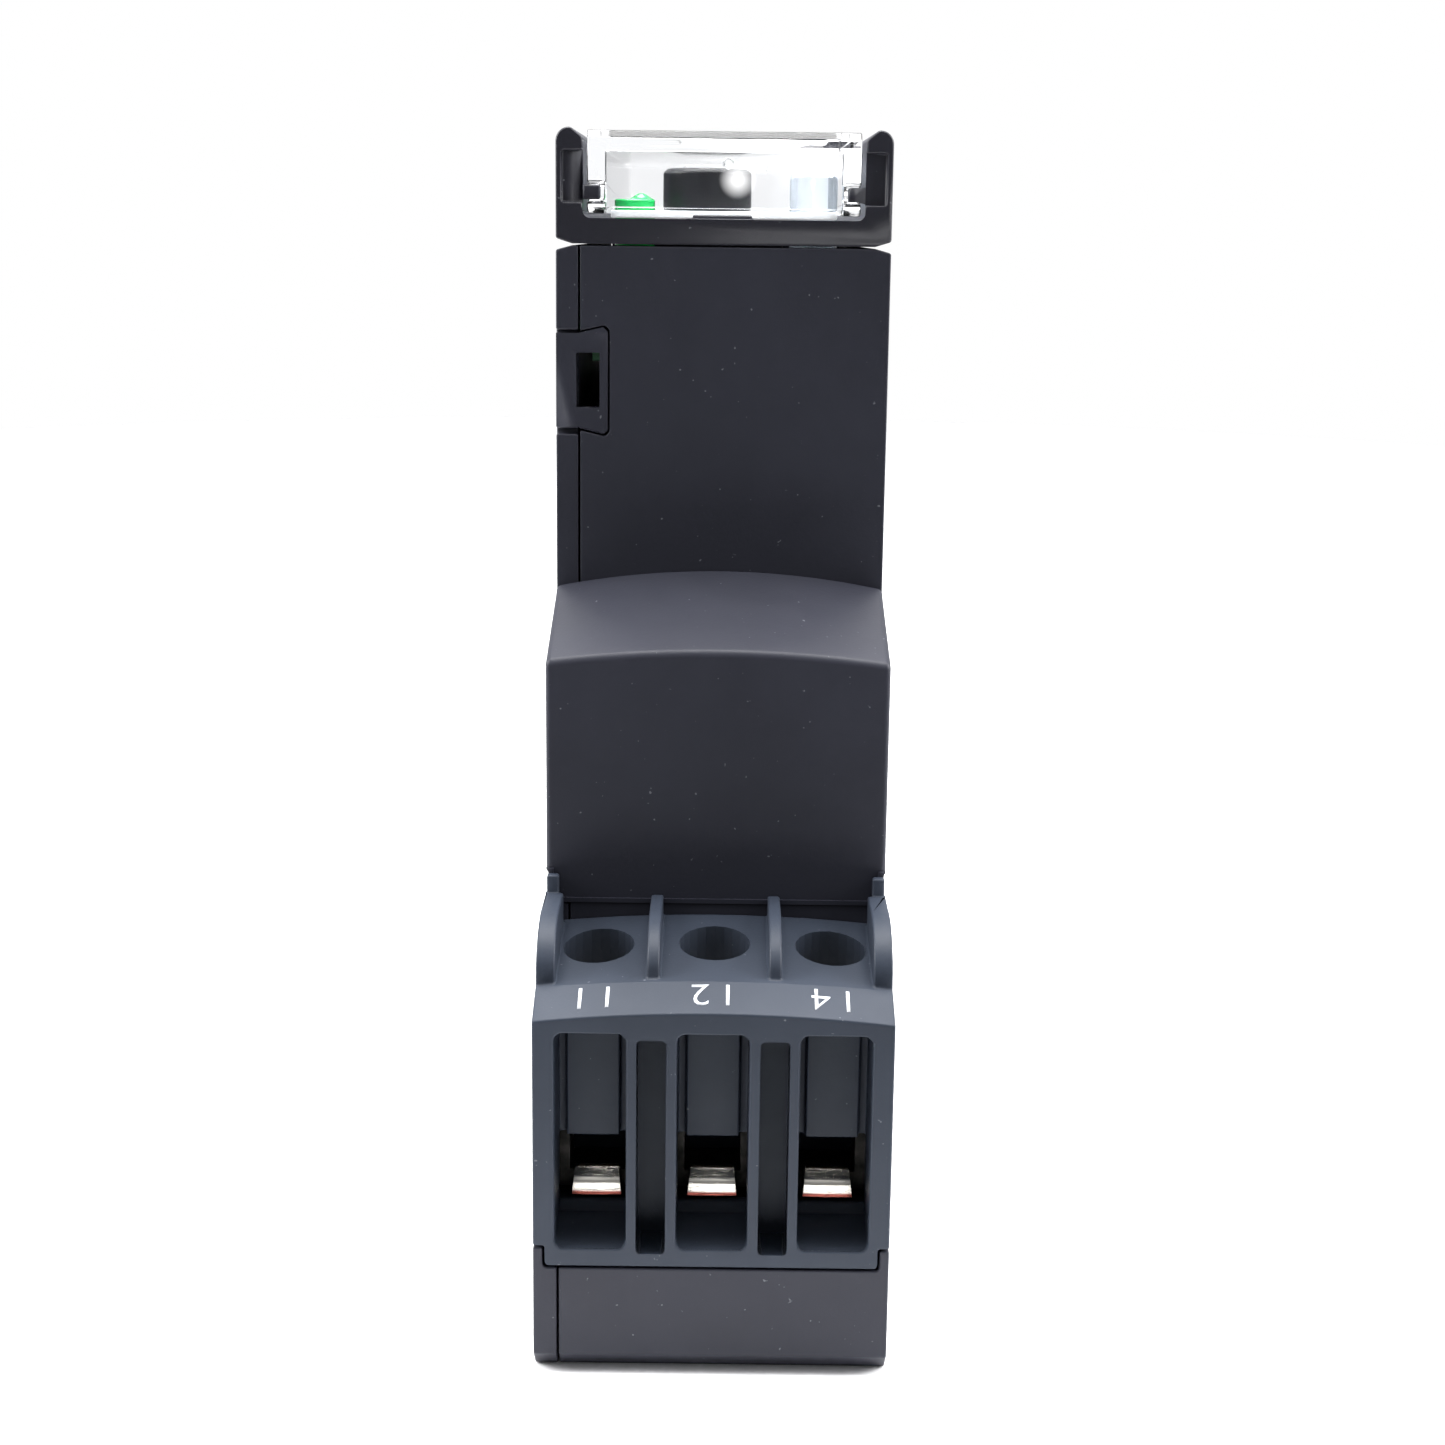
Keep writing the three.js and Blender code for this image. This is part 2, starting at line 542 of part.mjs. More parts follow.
// A contact bar: blade under the screw, a leg up behind the wall, and a strap across to the board.
function busbar(x, level) {
  const half = barHalf;
  const legY = -wallY + CLEAR + 0.2;
  const strapZ = BUSBAR_HEIGHT + 4 * level;
  const barTop = BUSBAR_HEIGHT + BUSBAR;
  const blade = box(x - half, x + half, chamberFront + 0.8, legY + BUSBAR, BUSBAR_HEIGHT, barTop);
  const leg = box(x - half, x + half, legY, legY + BUSBAR, BUSBAR_HEIGHT, strapZ + BUSBAR);
  const padX = BOARD_FACE - 0.1;
  const strap = box(Math.min(x - half, padX - 1.2), padX, legY, legY + BUSBAR, strapZ, strapZ + BUSBAR);
  const tab = box(padX - 0.9, padX, legY, legY + 4.2, strapZ, strapZ + BUSBAR);
  return join(blade, leg, strap, tab);
}

// ---------------------------------------------------------------- blank step cover
function stepCover() {
  const under = stepBack + SEAM;
  const shell = alongX([
    [-MID_Y, STEP_BOTTOM], [-MID_Y, STEP_EDGE + 3], [-FRONT_Y - SEAM, STEP_TOP + CROWN],
    [-FRONT_Y - SEAM, slopeUnder(FRONT_Y) + SEAM], [-under, slopeUnder(under) + SEAM],
    [-under, STEP_BOTTOM],
  ].reverse(), -HALF, HALF);
  const crown = crownTool(-MID_Y, STEP_EDGE, -FRONT_Y, STEP_TOP);
  const flanks = [[-HALF - 1, -HALF + 0.15], [HALF - 0.15, HALF + 1]].map(([x0, x1]) =>
    box(x0, x1, -MID_Y - 1, -under + 1, STEP_BOTTOM - 1, STEP_EDGE - 1.2));
  const notches = [[-HALF - 1, -HALF + 0.5], [HALF - 0.5, HALF + 1]].map(([x0, x1]) =>
    box(x0, x1, -MID_Y - 1, -under + 1, STEP_BOTTOM - 1, STEP_BOTTOM + 2.0));
  const lip = box(-HALF + 0.5, HALF - 0.5, -MID_Y - 0.12, -MID_Y + 0.3, STEP_BOTTOM, STEP_BOTTOM + 0.3);
  return join(cut(shell, crown, ...flanks, ...notches), lip);
}

// ---------------------------------------------------------------- front frame and cover
const cheekIn = HALF - CHEEK;
const pegZ = FLOOR_TOP + PEG_RISE;
const pegY = -FRONT_Y + PEG_INSET;
const knobRows = [-KNOB_PITCH, 0, KNOB_PITCH];
const LENS = { x: cheekIn - 3.25, y: -FRONT_Y + 6.5, green: 1.4, clear: 1.65 };

// The frame's (x, z) section: floor, two cheeks with round backs and bevelled inner lips.
function frameSection() {
  const low = FRAME_Z + SEAM;
  const shape = new THREE.Shape();
  shape.moveTo(-HALF + GROOVE_DEPTH, low);
  shape.lineTo(HALF - GROOVE_DEPTH, low);
  shape.lineTo(HALF, low + GROOVE_MOUTH - SEAM);
  shape.lineTo(HALF, DEPTH - 0.9);
  shape.absarc(HALF - 0.9, DEPTH - 0.9, 0.9, 0, Math.PI / 2, false);
  shape.lineTo(cheekIn + 0.75, DEPTH - 0.05);
  shape.lineTo(cheekIn, DEPTH - 0.65);
  shape.lineTo(cheekIn, FLOOR_TOP + 0.5);
  shape.absarc(cheekIn - 0.5, FLOOR_TOP + 0.5, 0.5, 0, -Math.PI / 2, true);
  shape.lineTo(-cheekIn + 0.5, FLOOR_TOP);
  shape.absarc(-cheekIn + 0.5, FLOOR_TOP + 0.5, 0.5, -Math.PI / 2, -Math.PI, true);
  shape.lineTo(-cheekIn, DEPTH - 0.65);
  shape.lineTo(-cheekIn - 0.75, DEPTH - 0.05);
  shape.lineTo(-HALF + 0.9, DEPTH);
  shape.absarc(-HALF + 0.9, DEPTH - 0.9, 0.9, Math.PI / 2, Math.PI, false);
  shape.lineTo(-HALF, low + GROOVE_MOUTH - SEAM);
  return shape;
}

function controlHoles(from, to, grow) {
  const knobs = knobRows.map((y) => rod('z', [KNOB_OFFSET, y], from, to, KNOB_SHAFT / 2 + RUNNING + grow));
  const lenses = [
    rod('z', [-LENS.x, LENS.y], from, to, LENS.green + RUNNING),
    rod('z', [LENS.x, LENS.y], from, to, LENS.clear + RUNNING),
  ];
  return join(...knobs, ...lenses);
}

function frontFrame() {
  const section = alongY(frameSection(), -FRONT_Y, FRONT_Y, 4);
  const holes = controlHoles(FRAME_Z - 1, FLOOR_TOP + 1, 0);
  const insets = [-1, 1].flatMap((side) => [-1, 1].map((end) => {
    const xs = [side * (cheekIn - 1), side * (HALF - 0.4)].sort((a, b) => a - b);
    const ys = [end * (FRONT_Y + 1), end * (FRONT_Y - 0.35)].sort((a, b) => a - b);
    return box(xs[0], xs[1], ys[0], ys[1], pegZ - PEG / 2 - 0.2, DEPTH - 1.5);
  }));
  const pegs = [-1, 1].map((side) => {
    const xs = [side * (cheekIn + 0.2), side * (cheekIn - PEG_LENGTH)].sort((a, b) => a - b);
    return box(xs[0], xs[1], pegY - PEG / 2, pegY + PEG / 2, pegZ - PEG / 2, pegZ + PEG / 2);
  });
  const tab = box(-2.1, 1.9, -FRONT_Y + 0.05, -FRONT_Y + 0.3, FLOOR_TOP - 0.1, FLOOR_TOP + 0.28);
  const leg = { half: 4, thick: 1.2, drop: 3.4, face: FRONT_Y - WALL - RUNNING };
  const legs = [-1, 1].map((end) => {
    const ys = [end * leg.face, end * (leg.face - leg.thick)].sort((a, b) => a - b);
    return box(-leg.half, leg.half, ys[0], ys[1], FRAME_Z - leg.drop, FRAME_Z + 0.3);
  });
  return join(cut(section, holes, ...insets), ...pegs, tab, ...legs);
}

function facePlate() {
  const low = FLOOR_TOP + CLEAR / 6;
  const half = cheekIn - CLEAR - COVER_SIDE - 0.35;
  const end = FRONT_Y - 1.6;
  const plate = alongZ(roundedRect(-half, half, -end, end, 0.6), low, PLATE_TOP, 3);
  return cut(plate, controlHoles(FRAME_Z, PLATE_TOP + 1, 0));
}

function clearCover() {
  const outer = cheekIn - CLEAR;
  const inner = outer - COVER_SIDE;
  const top = DEPTH - 0.15;
  const under = top - COVER_PLATE;
  const near = pegY - 0.55;
  const far = FRONT_Y - 0.5;
  const low = FLOOR_TOP + 0.25;
  const side = new THREE.Shape();
  side.moveTo(far, low);
  side.lineTo(far, top);
  side.lineTo(near + 0.5, top);
  side.lineTo(near, top - 0.5);
  side.lineTo(near, pegZ - 0.9);
  side.lineTo(near + 0.45, low + 0.05);
  const block = alongX(side, -outer, outer);
  const room = box(-inner, inner, near + 1.0, far - 1.2, low - 1, under);
  const nearRelief = box(-inner - 0.02, inner + 0.02, near - 1, near + 2.2, low - 1, PLATE_TOP + 0.15);
  const farRelief = box(-inner - 0.02, inner + 0.02, far - 2.5, far + 1, low - 1, PLATE_TOP + 0.15);
  const bores = rod('x', [pegY, pegZ], -outer - 1, outer + 1, PEG * 0.72 + RUNNING / 2, 20);
  const plug = box(-inner, inner, near, near + 1.0, PLATE_TOP + 0.15, under);
  const grip = box(-3.5, 3.5, far - 0.6, far + 1, top - 1.6, top - 0.8);
  const shell = cut(block, room, nearRelief, farRelief, grip);
  return join(cut(shell, bores), plug);
}

function knob(y) {
  const low = PLATE_TOP + 0.1;
  const high = low + KNOB_HEIGHT;
  const r = KNOB_DIAMETER / 2;
  const shaftEnd = potTop - 2.4;
  const body = turned(KNOB_OFFSET, y, [
    [0, shaftEnd], [KNOB_SHAFT / 2, shaftEnd], [KNOB_SHAFT / 2, low], [r, low], [r, high - 0.3],
    [r - 0.3, high], [0, high],
  ], 32);
  const slot = box(KNOB_OFFSET - r + 0.7, KNOB_OFFSET + r - 0.7, y - 0.4, y + 0.4, high - 1.1, high + 1);
  const pointer = box(KNOB_OFFSET + r - 1.1, KNOB_OFFSET + r - 0.5, y - 0.3, y + 0.3, high - 0.5, high + 1);
  return cut(body, slot, pointer);
}

function lensGreen() {
  const r = LENS.green;
  const low = frontBoardTop + 1.3;
  const top = PLATE_TOP + 1.2;
  return turned(-LENS.x, LENS.y, [
    [0, low], [r, low], [r, top - 0.7], [r * 0.87, top - 0.32], [r * 0.5, top - 0.07], [0, top],
  ]);
}

function lensClear() {
  const r = LENS.clear;
  const low = frontBoardTop + 1.3;
  const top = PLATE_TOP + 3.15;
  const points = [[0, low], [r, low], [r, top - r]];
  for (const turn of [20, 40, 60, 78]) {
    const angle = (turn * Math.PI) / 180;
    points.push([r * Math.cos(angle), top - r + r * Math.sin(angle)]);
  }
  points.push([0, top]);
  return turned(LENS.x, LENS.y, points);
}

// ---------------------------------------------------------------- boards and components
const frontBoardTop = FRAME_Z - 6.2;
const frontBoardLow = frontBoardTop - BOARD;
const potTop = FRAME_Z - 1.0;
const neckEnd = FRONT_Y - WALL - 1.2;
const boardLow = ribFloor + 1.3;

function mainBoard() {
  const shoulder = slopeUnder(stepBack) - WALL - 1.2;
  const points = [
    [-boardEnd, boardLow], [boardEnd, boardLow], [boardEnd, shoulder], [neckEnd, shoulder],
    [neckEnd, frontBoardLow - CLEAR], [-neckEnd, frontBoardLow - CLEAR], [-neckEnd, shoulder],
    [-boardEnd, shoulder],
  ];
  return alongX(points, BOARD_FACE, BOARD_FACE + BOARD);
}

function frontBoard() {
  return box(SEAM_X + 0.8, INNER_RIGHT - 0.5, -neckEnd, neckEnd, frontBoardLow, frontBoardTop);
}

function potentiometer(y) {
  const half = 3.2;
  const low = frontBoardTop + 0.05;
  const body = box(KNOB_OFFSET - half, KNOB_OFFSET + half, y - half, y + half, low, potTop);
  const bore = rod('z', [KNOB_OFFSET, y], potTop - 2.7, potTop + 1, KNOB_SHAFT / 2 + RUNNING / 2);
  return cut(body, bore);
}

function ledChip(x) {
  return box(x - 0.8, x + 0.8, LENS.y - 1.0, LENS.y + 1.0, frontBoardTop + 0.05, frontBoardTop + 0.95);
}

function boardHeader() {
  return box(BOARD_FACE - 2.6, BOARD_FACE - 0.05, -8, 8, frontBoardLow - 2.6, frontBoardLow - 0.05);
}

// ---------------------------------------------------------------- relay on the main board
const RELAY = { y0: -14.5, y1: 14.5, z0: 11.0, z1: 23.7, wall: 0.7, base: 1.4 };
const relayTop = SEAM_X + 0.9;
const relayBaseFace = BOARD_FACE - 0.1 - RELAY.base;
const relayIn = relayTop + RELAY.wall + 0.3;
const relayMiddle = (RELAY.z0 + RELAY.z1) / 2;
const armatureX = relayIn + 2.5;

function relayBase() {
  return box(relayBaseFace, BOARD_FACE - 0.1, RELAY.y0, RELAY.y1, RELAY.z0, RELAY.z1);
}

function relayCase() {
  const block = box(relayTop, relayBaseFace - 0.1, RELAY.y0, RELAY.y1, RELAY.z0, RELAY.z1);
  const room = box(relayTop + RELAY.wall, relayBaseFace + 1, RELAY.y0 + RELAY.wall, RELAY.y1 - RELAY.wall,
    RELAY.z0 + RELAY.wall, RELAY.z1 - RELAY.wall);
  return cut(block, room);
}

const COIL = { y: -6.5, radius: 4.4, core: 1.9 };
const coilLow = armatureX + 1.7;
const coilHigh = relayBaseFace - 1.3;

function relayCoil() {
  const winding = rod('x', [COIL.y, relayMiddle], coilLow + 0.8, coilHigh - 0.8, COIL.radius - 0.5, 24);
  const flanges = [[coilLow, coilLow + 0.9], [coilHigh - 0.9, coilHigh]].map(([x0, x1]) =>
    rod('x', [COIL.y, relayMiddle], x0, x1, COIL.radius, 24));
  const bore = rod('x', [COIL.y, relayMiddle], coilLow - 1, coilHigh + 1, COIL.core + 0.1, 16);
  return cut(join(winding, ...flanges), bore);
}

function relayYoke() {
  const core = rod('x', [COIL.y, relayMiddle], coilLow - 0.5, coilHigh + 0.4, COIL.core, 16);
  const legY = COIL.y + COIL.radius + 0.3;
  const [low, high] = [relayMiddle - 4, relayMiddle + 4];
  const back = box(coilHigh + 0.15, coilHigh + 1.2, COIL.y - 3, legY + 1.2, low, high);
  const leg = box(armatureX + 0.75, coilHigh + 1.2, legY, legY + 1.2, low, high);
  return join(core, back, leg);
}

const armaturePivot = { x: armatureX + 0.5, y: COIL.y + COIL.radius + 0.9 };

function relayArmature() {
  return box(armatureX - 0.5, armatureX + 0.5, COIL.y - 3.2, armaturePivot.y + 1.0,
    relayMiddle - 3.8, relayMiddle + 3.8);
}

// The moving contact: a blade carried beyond the pivot by the armature, with its rivet.
function movingContact() {
  const from = armaturePivot.y + 1.1;
  const to = RELAY.y1 - 2.2;
  const blade = box(armatureX - 0.2, armatureX + 0.2, from, to, relayMiddle - 1.6, relayMiddle + 1.6);
  const rivet = rod('x', [to - 1.4, relayMiddle], armatureX - 0.7, armatureX + 0.7, 1.0, 16);
  return join(blade, rivet);
}

// The fixed contacts: the closed one rests just inside the rivet, the open one a swing outside it.
function fixedContact(side) {
  const contactY = RELAY.y1 - 3.6;
  const gap = 0.2;
  const swing = 0.95;
  const reach = side > 0 ? armatureX + 0.7 + gap : armatureX - 0.7 - swing - gap;
  const thick = 0.4 * side;
  const xs = [reach, reach + thick].sort((a, b) => a - b);
  const zOut = side > 0 ? [relayMiddle + 1.8, relayMiddle + 3.4] : [relayMiddle - 3.4, relayMiddle - 1.8];
  const pad = box(xs[0], xs[1], contactY - 1.4, contactY + 1.4, Math.min(zOut[0], relayMiddle - 1.6),
    Math.max(zOut[1], relayMiddle + 1.6));
  const postEnd = relayBaseFace - 0.1;
  const post = box(Math.min(xs[0], postEnd), postEnd, contactY - 1.0, contactY + 1.0, zOut[0], zOut[1]);
  return join(pad, post);
}

// The row of components above the relay, one after another along the board.
const ROW = { z: 34, gap: 1.9, film: 16, filmTall: 12, bridge: 7, varistor: 3.2, canRadius: 5 };
const filmStart = -boardEnd + 1.5;
const bridgeStart = filmStart + ROW.film + ROW.gap;
const varistorStart = bridgeStart + ROW.bridge + ROW.gap;
const canCentre = varistorStart + ROW.varistor + ROW.gap + ROW.canRadius;

function onBoard(y0, y1, z0, z1, tall) {
  return box(BOARD_FACE - 0.1 - tall, BOARD_FACE - 0.1, y0, y1, z0, z1);
}

function electrolytic() {
  const tall = BOARD_FACE - SEAM_X - 2.2;
  return rod('x', [canCentre, ROW.z], BOARD_FACE - 0.1 - tall, BOARD_FACE - 0.1, ROW.canRadius, 20);
}

function varistor() {
  const middle = varistorStart + ROW.varistor / 2;
  const disc = rod('y', [BOARD_FACE - 6.4, ROW.z], varistorStart, varistorStart + ROW.varistor, 4.2, 20);
  const leads = [-2, 2].map((dz) =>
    box(BOARD_FACE - 4, BOARD_FACE - 0.1, middle - 0.3, middle + 0.3, ROW.z + dz - 0.3, ROW.z + dz + 0.3));
  return join(disc, ...leads);
}

// ---------------------------------------------------------------- assembly
const MATERIALS = {
  housing: plastic('moulded_anthracite', 0x3a3b44),
  block: plastic('moulded_graphite', 0x494b52),
  frame: plastic('moulded_black', 0x2c2c35),
  cover: clear('clear_polycarbonate', 0xf2f6f8, 0.25),
  plate: plastic('light_grey_face', 0xd9dadb, 0.5),
  foot: plastic('moulded_foot', 0x2a2a2c),
  knob: plastic('moulded_knob', 0x26262c, 0.45),
  green: clear('green_lens', 0x35b56a, 0.8),
  lens: clear('clear_lens', 0xe4ecf4, 0.5),
  board: plastic('epoxy_board', 0x2e6b46, 0.5),
  component: plastic('component_black', 0x1d1d1f, 0.5),
  film: plastic('film_capacitor_grey', 0x8f8f88, 0.45),
  varistor: plastic('varistor_blue', 0x2f5f9e, 0.4),
  sleeve: plastic('capacitor_sleeve', 0x2b2e38, 0.35),
  relay: plastic('relay_case', 0xc9cdd2, 0.35),
  enamel: plastic('enamelled_copper', 0xa4562c, 0.35),
  steel: metal('zinc_steel', 0xb9bcbf),
  nickel: metal('nickel_plate', 0xc9c6bf, 0.22),
  copper: metal('tinned_copper', 0xc0b7ae, 0.3),
  spring: metal('spring_steel', 0x9c9ea2, 0.3),
};

const relay = new THREE.Group();

function add(name, solid, material) {
  const mesh = new THREE.Mesh(toGeometry(solid), material.clone());
  mesh.name = name;
  relay.add(mesh);
}

add('housing_main', housingMain(), MATERIALS.housing);
add('side_cover', sideCover(), MATERIALS.housing);
add('front_frame', frontFrame(), MATERIALS.frame);
add('face_plate', facePlate(), MATERIALS.plate);
add('clear_cover', clearCover(), MATERIALS.cover);
add('din_foot', dinFoot(), MATERIALS.foot);
add('din_foot_spring', footSpring(), MATERIALS.spring);
add('lens_green', lensGreen(), MATERIALS.green);
add('lens_clear', lensClear(), MATERIALS.lens);

['time', 'range', 'function'].forEach((use, i) => {
  add(`knob_${use}`, knob(knobRows[i]), MATERIALS.knob);
  add(`potentiometer_${use}`, potentiometer(knobRows[i]), MATERIALS.component);
});

// Terminal rows: the row towards -Y is the top of the mounted relay, its twin is the bottom.
for (const [row, place] of [['top', (solid) => solid], ['bottom', flipSides]]) {
  add(`step_cover_${row}`, place(stepCover()), MATERIALS.housing);
  add(`terminal_block_${row}`, place(terminalBlock()), MATERIALS.block);
  COLUMNS.forEach((x, i) => {
    const tag = `${row}_${i + 1}`;
    add(`clamp_cage_${tag}`, place(clampCage(x)), MATERIALS.nickel);
    add(`clamp_screw_${tag}`, place(clampScrew(x)), MATERIALS.nickel);
    add(`busbar_${tag}`, place(busbar(x, TERMINALS - 1 - i)), MATERIALS.copper);
  });
}

add('main_board', mainBoard(), MATERIALS.board);
add('front_board', frontBoard(), MATERIALS.board);
add('board_header', boardHeader(), MATERIALS.component);
add('led_green', ledChip(-LENS.x), MATERIALS.green);
add('led_red', ledChip(LENS.x), MATERIALS.lens);
add('relay_base', relayBase(), MATERIALS.component);
add('relay_case', relayCase(), MATERIALS.relay);
add('relay_coil', relayCoil(), MATERIALS.enamel);
add('relay_yoke', relayYoke(), MATERIALS.steel);
add('relay_armature', relayArmature(), MATERIALS.steel);
add('relay_contact_moving', movingContact(), MATERIALS.copper);
add('relay_contact_closed', fixedContact(1), MATERIALS.copper);
add('relay_contact_open', fixedContact(-1), MATERIALS.copper);
const filmHalf = ROW.filmTall / 2;
const film = onBoard(filmStart, filmStart + ROW.film, ROW.z - filmHalf, ROW.z + filmHalf, 8.5);
add('film_capacitor', film, MATERIALS.film);
add('electrolytic_capacitor', electrolytic(), MATERIALS.sleeve);
add('varistor', varistor(), MATERIALS.varistor);
add('microcontroller', onBoard(-5, 5, 50, 57, 1.8), MATERIALS.component);
const bridge = onBoard(bridgeStart, bridgeStart + ROW.bridge, ROW.z - 3.5, ROW.z + 3.5, 3.0);
add('bridge_rectifier', bridge, MATERIALS.component);

export default relay;
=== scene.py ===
"""Studio scene of a 22.5 mm control relay for a DIN rail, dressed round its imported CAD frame.

Metres throughout, in the frame's own axes: +Z from the rail side to the operating face, +X across
the width, -Y towards the upper terminal row. Sizes written in millimetres go through MM.
"""
import json
import logging
import math
from dataclasses import dataclass, field
from enum import Enum

import bmesh
import bpy
import numpy as np
from bpy.types import ID, Material, Mesh, Node, NodeSocket, NodeTree, Object
from mathutils import Matrix, Vector

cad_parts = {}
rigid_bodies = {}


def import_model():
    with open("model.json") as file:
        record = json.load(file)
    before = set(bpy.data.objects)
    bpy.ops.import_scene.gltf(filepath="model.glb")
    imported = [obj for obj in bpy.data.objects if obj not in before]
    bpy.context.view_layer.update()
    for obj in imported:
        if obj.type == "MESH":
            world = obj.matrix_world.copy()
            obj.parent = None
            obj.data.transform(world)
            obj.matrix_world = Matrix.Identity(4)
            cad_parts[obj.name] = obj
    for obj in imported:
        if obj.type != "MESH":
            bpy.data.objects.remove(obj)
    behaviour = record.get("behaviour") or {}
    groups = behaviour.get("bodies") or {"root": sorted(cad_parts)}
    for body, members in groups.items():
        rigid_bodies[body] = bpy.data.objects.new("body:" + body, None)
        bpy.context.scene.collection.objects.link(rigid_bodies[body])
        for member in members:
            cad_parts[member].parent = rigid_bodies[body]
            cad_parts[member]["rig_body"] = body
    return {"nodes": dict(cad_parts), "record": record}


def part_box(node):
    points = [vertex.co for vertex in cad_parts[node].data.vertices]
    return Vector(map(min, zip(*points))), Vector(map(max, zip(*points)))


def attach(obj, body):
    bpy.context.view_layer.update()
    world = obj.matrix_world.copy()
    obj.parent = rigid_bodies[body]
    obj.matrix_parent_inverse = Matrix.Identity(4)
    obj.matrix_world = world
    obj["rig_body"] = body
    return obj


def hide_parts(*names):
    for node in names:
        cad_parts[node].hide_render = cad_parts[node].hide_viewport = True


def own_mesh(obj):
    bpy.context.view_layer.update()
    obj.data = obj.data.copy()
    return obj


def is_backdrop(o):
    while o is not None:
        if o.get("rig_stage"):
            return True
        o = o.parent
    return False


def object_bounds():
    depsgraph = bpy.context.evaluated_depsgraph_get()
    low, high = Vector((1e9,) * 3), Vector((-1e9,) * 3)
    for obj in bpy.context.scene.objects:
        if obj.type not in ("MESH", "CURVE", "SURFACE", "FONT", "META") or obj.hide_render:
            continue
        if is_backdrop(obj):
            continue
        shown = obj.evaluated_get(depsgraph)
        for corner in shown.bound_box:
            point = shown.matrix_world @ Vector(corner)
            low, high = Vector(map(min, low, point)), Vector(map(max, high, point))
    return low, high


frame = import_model()
CAD_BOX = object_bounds()
LOG = logging.getLogger("relay")
MM = 0.001
Triple = tuple[float, float, float]
ROWS = ("top", "bottom")
COLUMNS = (1, 2, 3)


# ---- colour and shader nodes
def linear(code: str, alpha: float = 1.0) -> tuple[float, float, float, float]:
    """Turns an sRGB hex colour into linear light.

    Args:
        code: colour as "#rrggbb".
        alpha: opacity carried through unchanged.

    Returns:
        Linear red, green, blue and alpha.
    """
    srgb = np.array([int(code[i:i + 2], 16) for i in (1, 3, 5)]) / 255
    rgb = np.where(srgb <= 0.04045, srgb / 12.92, ((srgb + 0.055) / 1.055) ** 2.4)
    return (*rgb.tolist(), alpha)


def add_node(tree: NodeTree, kind: str, settings: dict | None = None,
             links: dict | None = None) -> Node:
    """Adds one node with its settings and incoming links.

    Args:
        tree: node tree to add to.
        kind: Blender's name for the shader node, without ShaderNode before it.
        settings: attribute names, or input names or numbers, with their values.
        links: input name or number to the output socket that feeds it.

    Returns:
        The new node.
    """
    made = tree.nodes.new(f"ShaderNode{kind}")
    for key, value in (settings or {}).items():
        if isinstance(key, str) and hasattr(made, key):
            setattr(made, key, value)
        else:
            made.inputs[key].default_value = value
    for key, socket in (links or {}).items():
        tree.links.new(socket, made.inputs[key])
    return made


def object_place(tree: NodeTree) -> NodeSocket:
    """The place on a piece, in metres in its own frame."""
    return add_node(tree, "TexCoord").outputs["Object"]


def object_noise(tree: NodeTree, size: float, detail: float = 2.0,
                 stretch: Triple = (1.0, 1.0, 1.0)) -> NodeSocket:
    """Noise on object coordinates with features of one real size.

    Args:
        tree: node tree to add to.
        size: feature size in metres.
        detail: octaves of finer noise.
        stretch: how much finer the pattern is along each axis.

    Returns:
        The noise value, about 0 to 1 round 0.5.
    """
    turned = add_node(tree, "Mapping", {"Scale": stretch}, {"Vector": object_place(tree)})
    noise = add_node(tree, "TexNoise", {"Scale": 1.0 / size, "Detail": detail},
                     {"Vector": turned.outputs["Vector"]})
    return noise.outputs["Fac"]


def between(tree: NodeTree, value: NodeSocket, low: float, high: float,
            start: float = 0.3, end: float = 0.7) -> NodeSocket:
    """Maps a value from start..end to low..high.

    Args:
        tree: node tree to add to.
        value: socket to map.
        low: result at start.
        high: result at end.
        start: incoming value for low.
        end: incoming value for high.

    Returns:
        The mapped value.
    """
    node = add_node(tree, "MapRange", {"From Min": start, "From Max": end, "To Min": low,
                                       "To Max": high}, {"Value": value})
    return node.outputs["Result"]


def blend_colours(tree: NodeTree, factor: NodeSocket, first: object,
                  second: object) -> NodeSocket:
    """Mixes two colours.

    Args:
        tree: node tree to add to.
        factor: 0 gives the first colour and 1 the second.
        first: a linear colour or a colour socket.
        second: a linear colour or a colour socket.

    Returns:
        The mixed colour.
    """
    node = add_node(tree, "Mix", {"data_type": "RGBA"}, {0: factor})
    for slot, colour in ((6, first), (7, second)):
        if isinstance(colour, NodeSocket):
            tree.links.new(colour, node.inputs[slot])
        else:
            node.inputs[slot].default_value = colour
    return node.outputs[2]


def bumps(tree: NodeTree, height: NodeSocket, depth: float,
          under: NodeSocket | None = None) -> NodeSocket:
    """Turns a height into a surface normal.

    Args:
        tree: node tree to add to.
        height: value whose 0 to 1 is one depth.
        depth: real depth in metres.
        under: normal of a coarser layer beneath.

    Returns:
        The normal socket.
    """
    links = {"Height": height} | ({"Normal": under} if under else {})
    node = add_node(tree, "Bump", {"Distance": depth, "Strength": 1.0}, links)
    return node.outputs["Normal"]


# ---- finishes
@dataclass(frozen=True)
class Look:
    """A named surface, made into one material the first time it is asked for."""

    name: str
    colour: str

    def shader(self, tree: NodeTree) -> Node:
        """Each kind of look builds its own shader in the tree and returns it."""
        raise NotImplementedError

    def material(self) -> Material:
        """Finds the material by its name, or builds it.

        Returns:
            The finished material.
        """
        made = bpy.data.materials.get(self.name)
        if made is None:
            made = bpy.data.materials.new(self.name)
            made.use_nodes = True
            tree = made.node_tree
            tree.nodes.clear()
            output = tree.nodes.new("ShaderNodeOutputMaterial")
            tree.links.new(self.shader(tree).outputs[0], output.inputs["Surface"])
        return made


